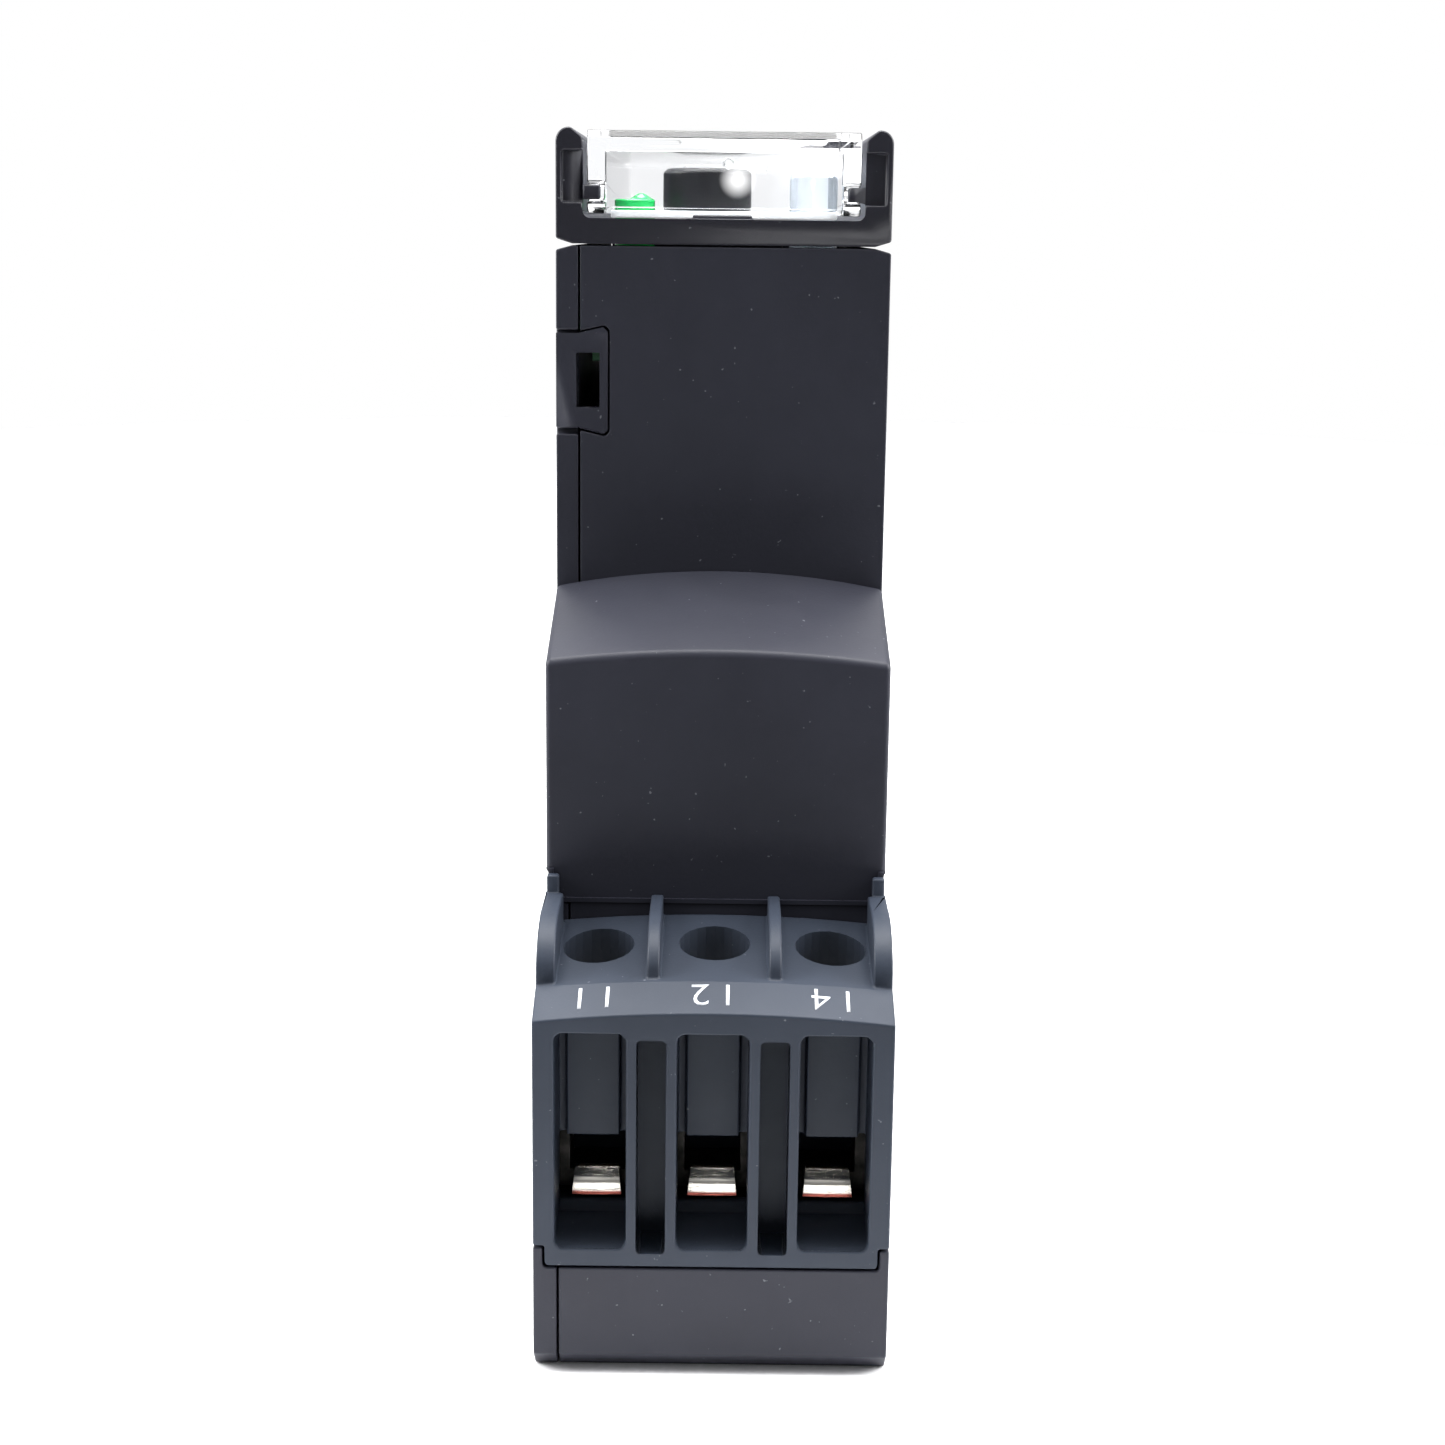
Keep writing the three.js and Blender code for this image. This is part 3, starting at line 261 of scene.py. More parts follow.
@dataclass(frozen=True)
class MouldedPlastic(Look):
    """Glass-filled plastic moulded against a spark-eroded steel.

    The erosion gives a fine even grain. The melt's flow leaves faint cloudy changes of tone, and
    handling leaves a little pale dust in the grain.
    """

    roughness: float = 0.5
    grain: float = 0.22 * MM
    depth: float = 0.008 * MM
    cloud: float = 9.0 * MM
    patch: float = 2.2 * MM
    tone: float = 0.10
    dust: float = 0.35
    dust_size: float = 0.35 * MM
    dust_colour: str = "#8d9096"
    specular: float = 0.5
    # Emission strength: a painted glow for a part that shows brighter than its lighting makes it.
    glow: float = 0.0

    def shader(self, tree: NodeTree) -> Node:
        """Builds the plastic.

        Args:
            tree: the material's nodes.

        Returns:
            The shader.
        """
        base = np.array(linear(self.colour))
        dark, light = base * (1 - self.tone), base * (1 + self.tone)
        dark[3] = light[3] = 1
        cloudy = between(tree, object_noise(tree, self.cloud, 3), 0, 1)
        tone = blend_colours(tree, cloudy, tuple(dark), tuple(light))
        specks = between(tree, object_noise(tree, self.dust_size, 1), 0, self.dust, 0.77, 0.82)
        colour = blend_colours(tree, specks, tone, linear(self.dust_colour))
        grain = object_noise(tree, self.grain, 2)
        rough = between(tree, object_noise(tree, self.patch, 3), self.roughness - 0.02,
                        self.roughness + 0.03)
        return add_node(tree, "BsdfPrincipled",
                        {"IOR": 1.5, "Specular IOR Level": self.specular,
                         "Emission Color": (1, 1, 1, 1), "Emission Strength": self.glow},
                        {"Base Color": colour, "Roughness": rough,
                         "Normal": bumps(tree, grain, self.depth)})


@dataclass(frozen=True)
class ClearPlastic(Look):
    """Polycarbonate or acrylic moulded in a polished tool, with faint ripple and fine hair scratches.

    A painted glow round the gate, made as emission that fades with distance from it, brightens the
    plastic there. Light falls through to what lies behind.
    """

    roughness: float = 0.03
    ior: float = 1.49
    transmission: float = 1.0
    wave: float = 7.0 * MM
    ripple: float = 0.004 * MM
    # Strength and reach of the painted glow round the gate; a strength of 0 leaves it out.
    gate_glow: float = 0.0
    gate: Triple = (0.9 * MM, -21.8 * MM, 74.7 * MM)
    gate_glow_reach: float = 3.0 * MM

    def shader(self, tree: NodeTree) -> Node:
        """Builds the clear plastic.

        Args:
            tree: the material's nodes.

        Returns:
            The shader.
        """
        base = np.array(linear(self.colour))
        wavy = object_noise(tree, self.wave, 1)
        shade = (*(base[:3] * 0.96).tolist(), 1.0)
        tint = blend_colours(tree, between(tree, wavy, 0, 1), tuple(base), shade)
        scratches = object_noise(tree, 0.9 * MM, 2, (1.0, 0.06, 1.0))
        rough = between(tree, scratches, self.roughness, self.roughness + 0.05, 0.55, 0.75)
        clear = add_node(tree, "BsdfPrincipled",
                         {"IOR": self.ior, "Transmission Weight": self.transmission,
                          "Emission Color": (1, 1, 1, 1), "Emission Strength": 0.0},
                         {"Base Color": tint, "Roughness": rough,
                          "Normal": bumps(tree, wavy, self.ripple)})
        # Painted glow: emission that is strongest at the gate and fades out over its reach.
        if self.gate_glow:
            away = add_node(tree, "VectorMath", {"operation": "DISTANCE", 1: self.gate},
                            {0: object_place(tree)})
            near = between(tree, away.outputs["Value"], 1, 0, 0, self.gate_glow_reach)
            soft = add_node(tree, "Math", {"operation": "POWER", 1: 2.0}, {0: near})
            painted_gate_glow = between(tree, soft.outputs["Value"], 0, self.gate_glow)
            tree.links.new(painted_gate_glow, clear.inputs["Emission Strength"])
        path = add_node(tree, "LightPath")
        passed = add_node(tree, "BsdfTransparent", {"Color": (0.92, 0.94, 0.95, 1)})
        return add_node(tree, "MixShader", {}, {0: path.outputs["Is Shadow Ray"],
                                                1: clear.outputs[0], 2: passed.outputs[0]})


@dataclass(frozen=True)
class PlatedMetal(Look):
    """Stamped or turned metal under a thin plating: bright, with the drawn lines of the strip."""

    shade: str
    roughness: float = 0.22
    line: float = 0.25 * MM
    stretch: Triple = (1.0, 6.0, 1.0)
    stain: float = 1.6 * MM

    def shader(self, tree: NodeTree) -> Node:
        """Builds the metal.

        Args:
            tree: the material's nodes.

        Returns:
            The shader.
        """
        lines = object_noise(tree, self.line, 3, self.stretch)
        stains = between(tree, object_noise(tree, self.stain, 3), 0, 1, 0.42, 0.68)
        colour = blend_colours(tree, stains, linear(self.colour), linear(self.shade))
        rough = between(tree, lines, self.roughness - 0.05, self.roughness + 0.14)
        return add_node(tree, "BsdfPrincipled", {"Metallic": 1.0},
                        {"Base Color": colour, "Roughness": rough,
                         "Normal": bumps(tree, lines, 0.003 * MM)})


@dataclass(frozen=True)
class JawPlating(Look):
    """Nickel-plated jaw: bright drawn metal with a painted copper-red reflection along its lower edge.
    """

    name: str = "nickel_jaw_painted_copper_reflection"
    colour: str = "#e6e2d8"
    copper: str = "#8a4a42"
    copper_reflection_height: float = 10.3 * MM
    blend: float = 0.08 * MM

    def shader(self, tree: NodeTree) -> Node:
        """Builds the jaw's metal.

        Args:
            tree: the material's nodes.

        Returns:
            The shader.
        """
        axes = add_node(tree, "SeparateXYZ", links={"Vector": object_place(tree)})
        # Below this height the jaw turns copper-red: a painted reflection.
        copper_reflection = between(tree, axes.outputs["Z"], 1, 0, self.copper_reflection_height - self.blend, self.copper_reflection_height + self.blend)
        colour = blend_colours(tree, copper_reflection, linear(self.colour), linear(self.copper))
        lines = object_noise(tree, 0.5 * MM, 4, (0.25, 1, 3.0))
        rough = between(tree, lines, 0.14, 0.3)
        return add_node(tree, "BsdfPrincipled", {"Metallic": 1.0},
                        {"Base Color": colour, "Roughness": rough,
                         "Normal": bumps(tree, lines, 0.02 * MM)})


@dataclass(frozen=True)
class SolderMask(Look):
    """Green lacquer over an etched board: copper tracks show as paler raised lines."""

    name: str = "solder_mask_on_epoxy_glass"
    colour: str = "#1f5a37"
    track: str = "#2f7a49"
    spacing: float = 4 * MM

    def shader(self, tree: NodeTree) -> Node:
        """Builds the board surface.

        Args:
            tree: the material's nodes.

        Returns:
            The shader.
        """
        tracks = add_node(tree, "TexBrick",
                          {"Scale": 1 / self.spacing, "Mortar Size": 0.09, "Color1": (0, 0, 0, 1),
                           "Color2": (0, 0, 0, 1), "Mortar": (1, 1, 1, 1)},
                          {"Vector": object_place(tree)}).outputs["Color"]
        colour = blend_colours(tree, tracks, linear(self.colour), linear(self.track))
        return add_node(tree, "BsdfPrincipled", {"Roughness": 0.35, "Coat Weight": 0.3},
                        {"Base Color": colour, "Normal": bumps(tree, tracks, 0.03 * MM)})


@dataclass(frozen=True)
class WoundWire(Look):
    """Enamelled copper wire laid in close turns: even ridges across the bobbin, with painted shade
    darkening the grooves between them.
    """

    name: str = "enamelled_copper_winding"
    colour: str = "#a4562c"
    shade: str = "#5e2c14"
    wave: float = 6.0 * MM

    def shader(self, tree: NodeTree) -> Node:
        """Builds the winding.

        Args:
            tree: the material's nodes.

        Returns:
            The shader.
        """
        ridges = add_node(tree, "TexWave", {"Scale": 1 / self.wave, "bands_direction": "X"},
                          {"Vector": object_place(tree)}).outputs["Fac"]
        # The grooves between turns take the darker colour: painted shade.
        colour = blend_colours(tree, ridges, linear(self.shade), linear(self.colour))
        return add_node(tree, "BsdfPrincipled", {"Metallic": 0.6, "Roughness": 0.35},
                        {"Base Color": colour, "Normal": bumps(tree, ridges, 0.1 * MM)})


@dataclass(frozen=True)
class Matt(Look):
    """A flat dull layer, such as ink or paper, whose tone wanders a little."""

    shade: str
    size: float
    detail: float
    span: Triple
    roughness: float = 0.6
    specular: float = 0.5

    def shader(self, tree: NodeTree) -> Node:
        """Builds the layer.

        Args:
            tree: the material's nodes.

        Returns:
            The shader.
        """
        most, start, end = self.span
        drift = between(tree, object_noise(tree, self.size, self.detail), 0, most, start, end)
        colour = blend_colours(tree, drift, linear(self.colour), linear(self.shade))
        return add_node(tree, "BsdfPrincipled",
                        {"Roughness": self.roughness, "Specular IOR Level": self.specular},
                        {"Base Color": colour})


# White ink laid by a pad: flat, slightly thin in the middle of each stroke.
PAD_PRINT = Matt("pad_printed_white_ink", "#c9ccd1", "#9da1a9", 0.12 * MM, 2, (0.5, 0.55, 0.75))
# Matt white background paper with the faintest fibre tone.
PAPER = Matt("studio_paper", "#f7f7f7", "#f4f4f5", 3 * MM, 3, (1, 0.3, 0.7), 0.9, 0.1)
# Cage steel painted dark: its darkness stands for the shade deep in the terminal chambers, so that the
# bright lip stands out before them.
CAGE_STEEL_PAINTED_SHADE = PlatedMetal("cage_steel_painted_shade", "#3b3a38", "#1d1d1c", 0.5)


class Finish(Enum):
    """Every finish on the relay, by the record's material slot."""

    # Blue-black satin that goes almost black where no light falls straight on it.
    HOUSING = ("housing_plastic",
               MouldedPlastic("anthracite_polyamide_housing", "#282932", 0.48, specular=0.24))
    # A shade lighter and bluer than the housing, so that the block stands apart from it.
    BLOCK = ("block_plastic",
             MouldedPlastic("graphite_polyamide_terminal_block", "#2c323d", 0.5, specular=0.24))
    # The darkest of the shell parts, with a smoother face.
    FRAME = ("frame_plastic",
             MouldedPlastic("black_polycarbonate_frame", "#1c1c25", 0.42, specular=0.4))
    # Water-clear and bright, with thin grey lines only where its walls are seen on edge, and a painted
    # glow round its gate.
    COVER = ("clear_polycarbonate",
             ClearPlastic("clear_polycarbonate_cover", "#ffffff", ior=1.38, gate_glow=0.6))
    # White ground with a painted glow: it emits light of its own, which throws light up into the cover
    # and brightens its edge.
    PLATE = ("face_plate_plastic",
             MouldedPlastic("white_face_plate", "#eceef0", 0.5, dust=0.0, tone=0.01, glow=0.3))
    # Waxy near-black of a part that slides in plastic guides.
    FOOT = ("foot_plastic", MouldedPlastic("black_acetal_foot", "#1d1d1f", 0.4))
    # Deep black with a tight highlight round the rim.
    KNOB = ("knob_plastic",
            MouldedPlastic("black_knob_moulding", "#0d0e13", 0.34, dust=0.1, specular=0.25))
    # Half-clear green that glows through its own depth.
    GREEN = ("green_lens",
             ClearPlastic("green_acrylic_lens", "#1fb35a", 0.15, transmission=0.35))
    # Bluish white with pale edges, like a pillar of ice.
    LENS = ("clear_lens",
            ClearPlastic("water_clear_acrylic_lens", "#eef4fb", 0.05, ior=1.18, transmission=0.8))
    # Glossy dark green lacquer over the copper.
    BOARD = ("circuit_board", SolderMask())
    # Flat black of moulded chips.
    COMPONENT = ("component_plastic", MouldedPlastic("black_moulded_epoxy", "#1b1b1c", 0.5))
    # Warm grey box, a little shiny.
    FILM = ("film_capacitor_case", MouldedPlastic("grey_capacitor_case", "#8a8a84", 0.45))
    # Strong blue that shines like a dipped bead.
    VARISTOR = ("varistor_coating", MouldedPlastic("blue_dipped_coating", "#27579a", 0.3))
    # Tight dark sleeve with a soft shine.
    SLEEVE = ("capacitor_sleeve", MouldedPlastic("shrunk_capacitor_sleeve", "#262a36", 0.3))
    # Pale clean case, the lightest thing inside the housing.
    CASE = ("relay_case_plastic", MouldedPlastic("pale_relay_case", "#c3c7cc", 0.4, dust=0.0))
    # Copper-red turns under clear enamel.
    WIRE = ("enamelled_copper", WoundWire())
    # Cool grey of zinc plate with faint clouding.
    STEEL = ("zinc_steel", PlatedMetal("zinc_plated_steel", "#bcbfc2", "#8f9296", 0.34))
    # Warmer and brighter than the zinc.
    NICKEL = ("nickel_plate", PlatedMetal("nickel_plated_clamp", "#d6d2c8", "#a9a296", 0.2))
    # Pale tin with the copper's warmth under it.
    TIN = ("tinned_copper", PlatedMetal("tinned_copper_bar", "#c9c2ba", "#a5968a", 0.3))
    # Grey drawn wire with fine lines along it.
    SPRING = ("spring_steel", PlatedMetal("drawn_spring_wire", "#a3a5a8", "#6f7174", 0.28))

    @property
    def slot(self) -> str:
        """Name of the material slot in the record."""
        return self.value[0]

    def material(self) -> Material:
        """The finish's one material."""
        return self.value[1].material()


# ---- meshes
NODES = frame["nodes"]
SLOT_OF = {part["node"]: part["material_slot"] for part in frame["record"]["subparts"]}
FINISH_OF = {finish.slot: finish for finish in Finish}
HOLE_REACH = 2.42 * MM
KNIFE_DEG = 24
REFINED_SMOOTH_DEG = 50
MERGE_DEG = 0.15
CAPITAL_SHARE = 0.7


def full_turn(steps: int) -> np.ndarray:
    """Evenly spread angles of one whole turn."""
    return np.linspace(0, 2 * np.pi, steps, endpoint=False)


def linked(name: str, data: ID) -> Object:
    """Makes an object of a mesh, curve, lamp or camera, linked to the scene.

    Args:
        name: the object's name.
        data: what it holds.

    Returns:
        The new object.
    """
    made = bpy.data.objects.new(name, data)
    bpy.context.scene.collection.objects.link(made)
    return made


def baked(piece: Object) -> Mesh:
    """A mesh of an object as its modifiers leave it."""
    graph = bpy.context.evaluated_depsgraph_get()
    return bpy.data.meshes.new_from_object(piece.evaluated_get(graph))


def grid_faces(rows: int, columns: int, round_rows: bool = False,
               round_columns: bool = False) -> np.ndarray:
    """Quads of a grid of points stored row by row.

    Args:
        rows: number of rows.
        columns: number of columns.
        round_rows: joins the last row to the first.
        round_columns: joins the last column to the first.

    Returns:
        Faces as an (n, 4) array of point numbers.
    """
    i, j = np.meshgrid(np.arange(rows - (not round_rows)), np.arange(columns - (not round_columns)),
                       indexing="ij")
    down, right = (i + 1) % rows, (j + 1) % columns
    quads = [i * columns + j, i * columns + right, down * columns + right, down * columns + j]
    return np.stack(quads, -1).reshape(-1, 4)


def mesh_object(name: str, points: np.ndarray, faces: list, smooth_deg: float = 35) -> Object:
    """Makes a mesh object at the origin with faces turned outwards.

    Args:
        name: piece name.
        points: (n, 3) places in metres.
        faces: sequences of point numbers.
        smooth_deg: edges sharper than this stay crisp.

    Returns:
        The new object, linked to the scene.
    """
    mesh = bpy.data.meshes.new(name)
    mesh.from_pydata(points.reshape(-1, 3).tolist(), [], [list(map(int, f)) for f in faces])
    shell = bmesh.new()
    shell.from_mesh(mesh)
    bmesh.ops.remove_doubles(shell, verts=shell.verts, dist=1e-7)
    bmesh.ops.recalc_face_normals(shell, faces=shell.faces)
    shell.to_mesh(mesh)
    shell.free()
    return show(name, mesh, smooth_deg)


def show(name: str, mesh: Mesh, smooth_deg: float) -> Object:
    """Links a mesh as an object shaded smooth but for its sharp edges.

    Args:
        name: piece name.
        mesh: its mesh.
        smooth_deg: edges sharper than this stay crisp.

    Returns:
        The new object.
    """
    mesh.shade_smooth()
    mesh.set_sharp_from_angle(angle=math.radians(smooth_deg))
    return linked(name, mesh)


def swept(name: str, rings: np.ndarray, closed_path: bool = False) -> Object:
    """A closed ring of points carried along a path, with its two ends capped unless the path closes.

    Args:
        name: piece name.
        rings: (steps, ring points, 3) places.
        closed_path: joins the last ring to the first.

    Returns:
        The new object.
    """
    steps, around = rings.shape[:2]
    faces = grid_faces(steps, around, closed_path, True).tolist()
    if not closed_path:
        faces += [list(range(around)), list(range((steps - 1) * around, steps * around))]
    return mesh_object(name, rings, faces)


def outset(outline: np.ndarray, amount: np.ndarray) -> np.ndarray:
    """Moves a closed outline's points along their averaged normals: each goes along the turned
    difference of its two neighbours, by its own amount.

    Args:
        outline: (..., n, 2) points, anticlockwise.
        amount: distance outwards, negative for inwards, broadcast over the points.

    Returns:
        The moved outline.
    """
    ahead, behind = np.roll(outline, -1, -2), np.roll(outline, 1, -2)
    along = ahead - behind
    normal = np.stack([along[..., 1], -along[..., 0]], -1)
    normal /= np.linalg.norm(normal, axis=-1, keepdims=True) + 1e-12
    return outline + normal * amount[..., None]


def near_axis(vert: bmesh.types.BMVert, axes: tuple[Vector, ...]) -> bool:
    """Whether a point lies on the rim of a screw hole round one of the upright axes."""
    return any((vert.co - axis).to_2d().length < HOLE_REACH for axis in axes)


def refined(node: str, edge: float = 0.14 * MM, spared: tuple[Vector, ...] = (),
            sharp_deg: float = 28) -> Object:
    """Copies a CAD node with its triangles merged and its edges rounded as a mould rounds them.

    Edges that meet at a knife-sharp corner of a face are left, because a rounding there would
    stand out of the surface, and no point leaves the node's own box.

    Args:
        node: CAD node to copy.
        edge: width of the rounding in metres.
        spared: upright axes; the crisp rims of the screw holes round them are left.
        sharp_deg: edges that turn more than this are rounded.

    Returns:
        The new object, named for the node.
    """
    source = bmesh.new()
    source.from_mesh(NODES[node].data)
    bmesh.ops.remove_doubles(source, verts=source.verts, dist=1e-6)
    bmesh.ops.dissolve_limit(source, angle_limit=math.radians(MERGE_DEG), verts=source.verts,
                             edges=source.edges)
    left = {vert for vert in source.verts
            if any(loop.calc_angle() < math.radians(KNIFE_DEG) for loop in vert.link_loops)
            or near_axis(vert, spared)}
    chosen = [e for e in source.edges
              if len(e.link_faces) == 2 and not left.intersection(e.verts)
              and e.calc_length() > edge and e.calc_face_angle(0) > math.radians(sharp_deg)]
    if edge > 0 and chosen:
        bmesh.ops.bevel(source, geom=chosen, offset=edge, offset_type="OFFSET", segments=2, profile=0.5,
                        affect="EDGES", clamp_overlap=False, loop_slide=True, miter_outer="ARC")
    level = source.faces.layers.int.new("level")
    for face in source.faces:
        face[level] = any(near_axis(vert, spared) for vert in face.verts)
    mesh = bpy.data.meshes.new(f"{node}_refined")
    source.to_mesh(mesh)
    source.free()
    places = np.empty(len(mesh.vertices) * 3, dtype=np.float32)
    mesh.vertices.foreach_get("co", places)
    low, high = (np.array(corner, dtype=np.float32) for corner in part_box(node))
    mesh.vertices.foreach_set("co", np.clip(places.reshape(-1, 3), low, high).ravel())
    made = show(f"{node}_refined", mesh, REFINED_SMOOTH_DEG)
    flat = np.zeros(len(mesh.polygons), dtype=np.int32)
    mesh.attributes["level"].data.foreach_get("value", flat)
    mesh.polygons.foreach_set("use_smooth", flat == 0)
    weighted = made.modifiers.new("even_faces", "WEIGHTED_NORMAL")
    weighted.keep_sharp = True
    return made


@dataclass
class SubAssembly:
    """A group of pieces that is built, dressed and reported together."""

    pieces: list[Object] = field(default_factory=list)

    def keep(self, piece: Object, body: str, finish: Finish, *nodes: str,
             look: Material | None = None) -> Object:
        """Dresses a piece and ties it to its body.

        Args:
            piece: finished object.
            body: CAD body that it moves with.
            finish: finish that it takes.
            nodes: CAD nodes that it stands for.
            look: a material of its own in place of the finish's.

        Returns:
            The piece.
        """
        piece.data.materials.clear()
        piece.data.materials.append(look or finish.material())
        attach(piece, body)
        finish.slot
        if nodes:
            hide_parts(*nodes)
        self.pieces.append(piece)
        return piece

    def refine(self, *nodes: str, edge: float = 0.14 * MM, spared: tuple[Vector, ...] = (),
               look: Material | None = None) -> list[Object]:
        """Refines CAD nodes, each in its record's finish and on its own body.

        Args:
            nodes: CAD nodes.
            edge: width of the rounded edges.
            spared: upright axes of holes that keep crisp rims.
            look: a material of its own in place of the finish's.

        Returns:
            The refined pieces.
        """
        return [self.keep(refined(node, edge, spared), NODES[node]["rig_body"],
                          FINISH_OF[SLOT_OF[node]], node, look=look) for node in nodes]

    def report(self) -> None:
        """Logs each piece of the group."""
        for piece in self.pieces:
            LOG.info("%s: %s on %s", type(self).__name__, piece.name, piece["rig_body"])


# ---- enclosure
@dataclass
class StepCover:
    """Blank cover over an unused terminal row: a crowned slope that rolls over into a plain wall."""

    row: str
    wall: float = 1.36 * MM
    slope_wall: float = 1.5 * MM
    fall: float = 3.75 * MM
    crown_back: float = 1.15 * MM
    crown_front: float = 0.75 * MM
    roll: float = 0.6 * MM
    corner: float = 0.35 * MM
    notch: float = 2.0 * MM
    notch_width: float = 0.5 * MM
    lip: float = 0.12 * MM
    lip_height: float = 0.3 * MM
    back_share: float = 0.55

    def profile(self, bottom: np.ndarray, drop_back: np.ndarray, drop_front: np.ndarray,
                box: tuple[Vector, Vector]) -> np.ndarray:
        """The closed (y, z) outline at each place across the width.

        From the lip the outline runs up the wall, round an arc of radius roll, up the straight
        slope to the back edge and home along the inner faces.

        Args:
            bottom: lower edge at each column.
            drop_back: how far the crown has fallen at the back edge.
            drop_front: how far the crown has fallen at the rolled edge.
            box: the CAD node's corners.

        Returns:
            Outlines as (columns, points, 2).
        """
        low, high = box
        front, back, top = low.y + self.lip, high.y, high.z - drop_back
        edge = high.z - self.fall - drop_front
        slope = np.arctan2(top - edge, back - front)
        turn = np.linspace(0, 1, 9)[None, :] * (np.pi / 2 - slope)[:, None]
        reach = self.roll * np.tan((np.pi / 2 - slope) / 2)
        arc_y = front + self.roll * (1 - np.cos(turn))
        arc_z = (edge - reach)[:, None] + self.roll * np.sin(turn)
        rise = np.linspace(0, 1, 12)[None, 1:]
        slope_y = arc_y[:, -1:] + (back - arc_y[:, -1:]) * rise
        slope_z = arc_z[:, -1:] + (top[:, None] - arc_z[:, -1:]) * rise
        rises = np.array([self.lip_height, self.lip_height + 0.01 * MM, 4 * MM, 6 * MM])
        wall_z = bottom[:, None] + rises
        wall_y = np.full_like(wall_z, front)
        wall_y[:, 0] = low.y
        inner_z = high.z - self.fall - self.slope_wall - drop_front
        ends = np.array([low.y, back, front + self.wall, front + self.wall])
        ends_y = np.broadcast_to(ends, (len(bottom), 4))
        ends_z = np.stack([bottom, top - self.slope_wall * self.back_share,
                           inner_z + self.slope_wall * 0.5, bottom], 1)
        y = np.concatenate([ends_y[:, :1], wall_y, arc_y, slope_y, ends_y[:, 1:]], 1)
        z = np.concatenate([ends_z[:, :1], wall_z, arc_z, slope_z, ends_z[:, 1:]], 1)
        return np.stack([y, z], -1)

    def mesh(self) -> Object:
        """Builds the cover.

        The crown falls from the middle with the square of the distance across, more at the back
        edge than at the rolled one. Near each side the outline shrinks along a quarter circle, so
        that the corners are round.

        Returns:
            The cover's object.
        """
        low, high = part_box(f"step_cover_{self.row}")
        if self.row == "bottom":
            low, high = Vector((low.x, -high.y, low.z)), Vector((high.x, -low.y, high.z))
        half = high.x
        turn = np.linspace(np.pi / 2, 0, 7)
        side = half - self.corner + self.corner * np.sin(turn)
        shrink = self.corner * (1 - np.cos(turn))
        middle = np.linspace(0, half - self.notch_width - 0.01 * MM, 24)
        step = np.array([half - self.notch_width])
        across = np.concatenate([middle, step, side[::-1]])
        inward = np.concatenate([np.zeros(25), shrink[::-1]])
        across = np.concatenate([-across[:0:-1], across])
        inward = np.concatenate([inward[:0:-1], inward])
        bottom = low.z + self.notch * (np.abs(across) > half - self.notch_width - 0.005 * MM)
        share = (across / half) ** 2
        outline = self.profile(bottom, self.crown_back * share, self.crown_front * share,
                               (low, high))
        outline = outset(outline[:, ::-1], -inward[:, None] * np.ones(outline.shape[1]))
        sign = 1 if self.row == "top" else -1
        x = np.broadcast_to(across[:, None], outline.shape[:2])
        points = np.stack([x, sign * outline[..., 0], outline[..., 1]], -1)
        return swept(f"step_cover_{self.row}_crowned", points)


@dataclass
class Enclosure(SubAssembly):
    """The shell: tub, side cover with its snap tongues, and the two blank step covers."""

    def build(self) -> None:
        """Builds and dresses the shell."""
        self.refine("housing_main", "side_cover", edge=0.12 * MM)
        for row in ROWS:
            node = f"step_cover_{row}"
            self.keep(StepCover(row).mesh(), "housing", Finish.HOUSING, node)


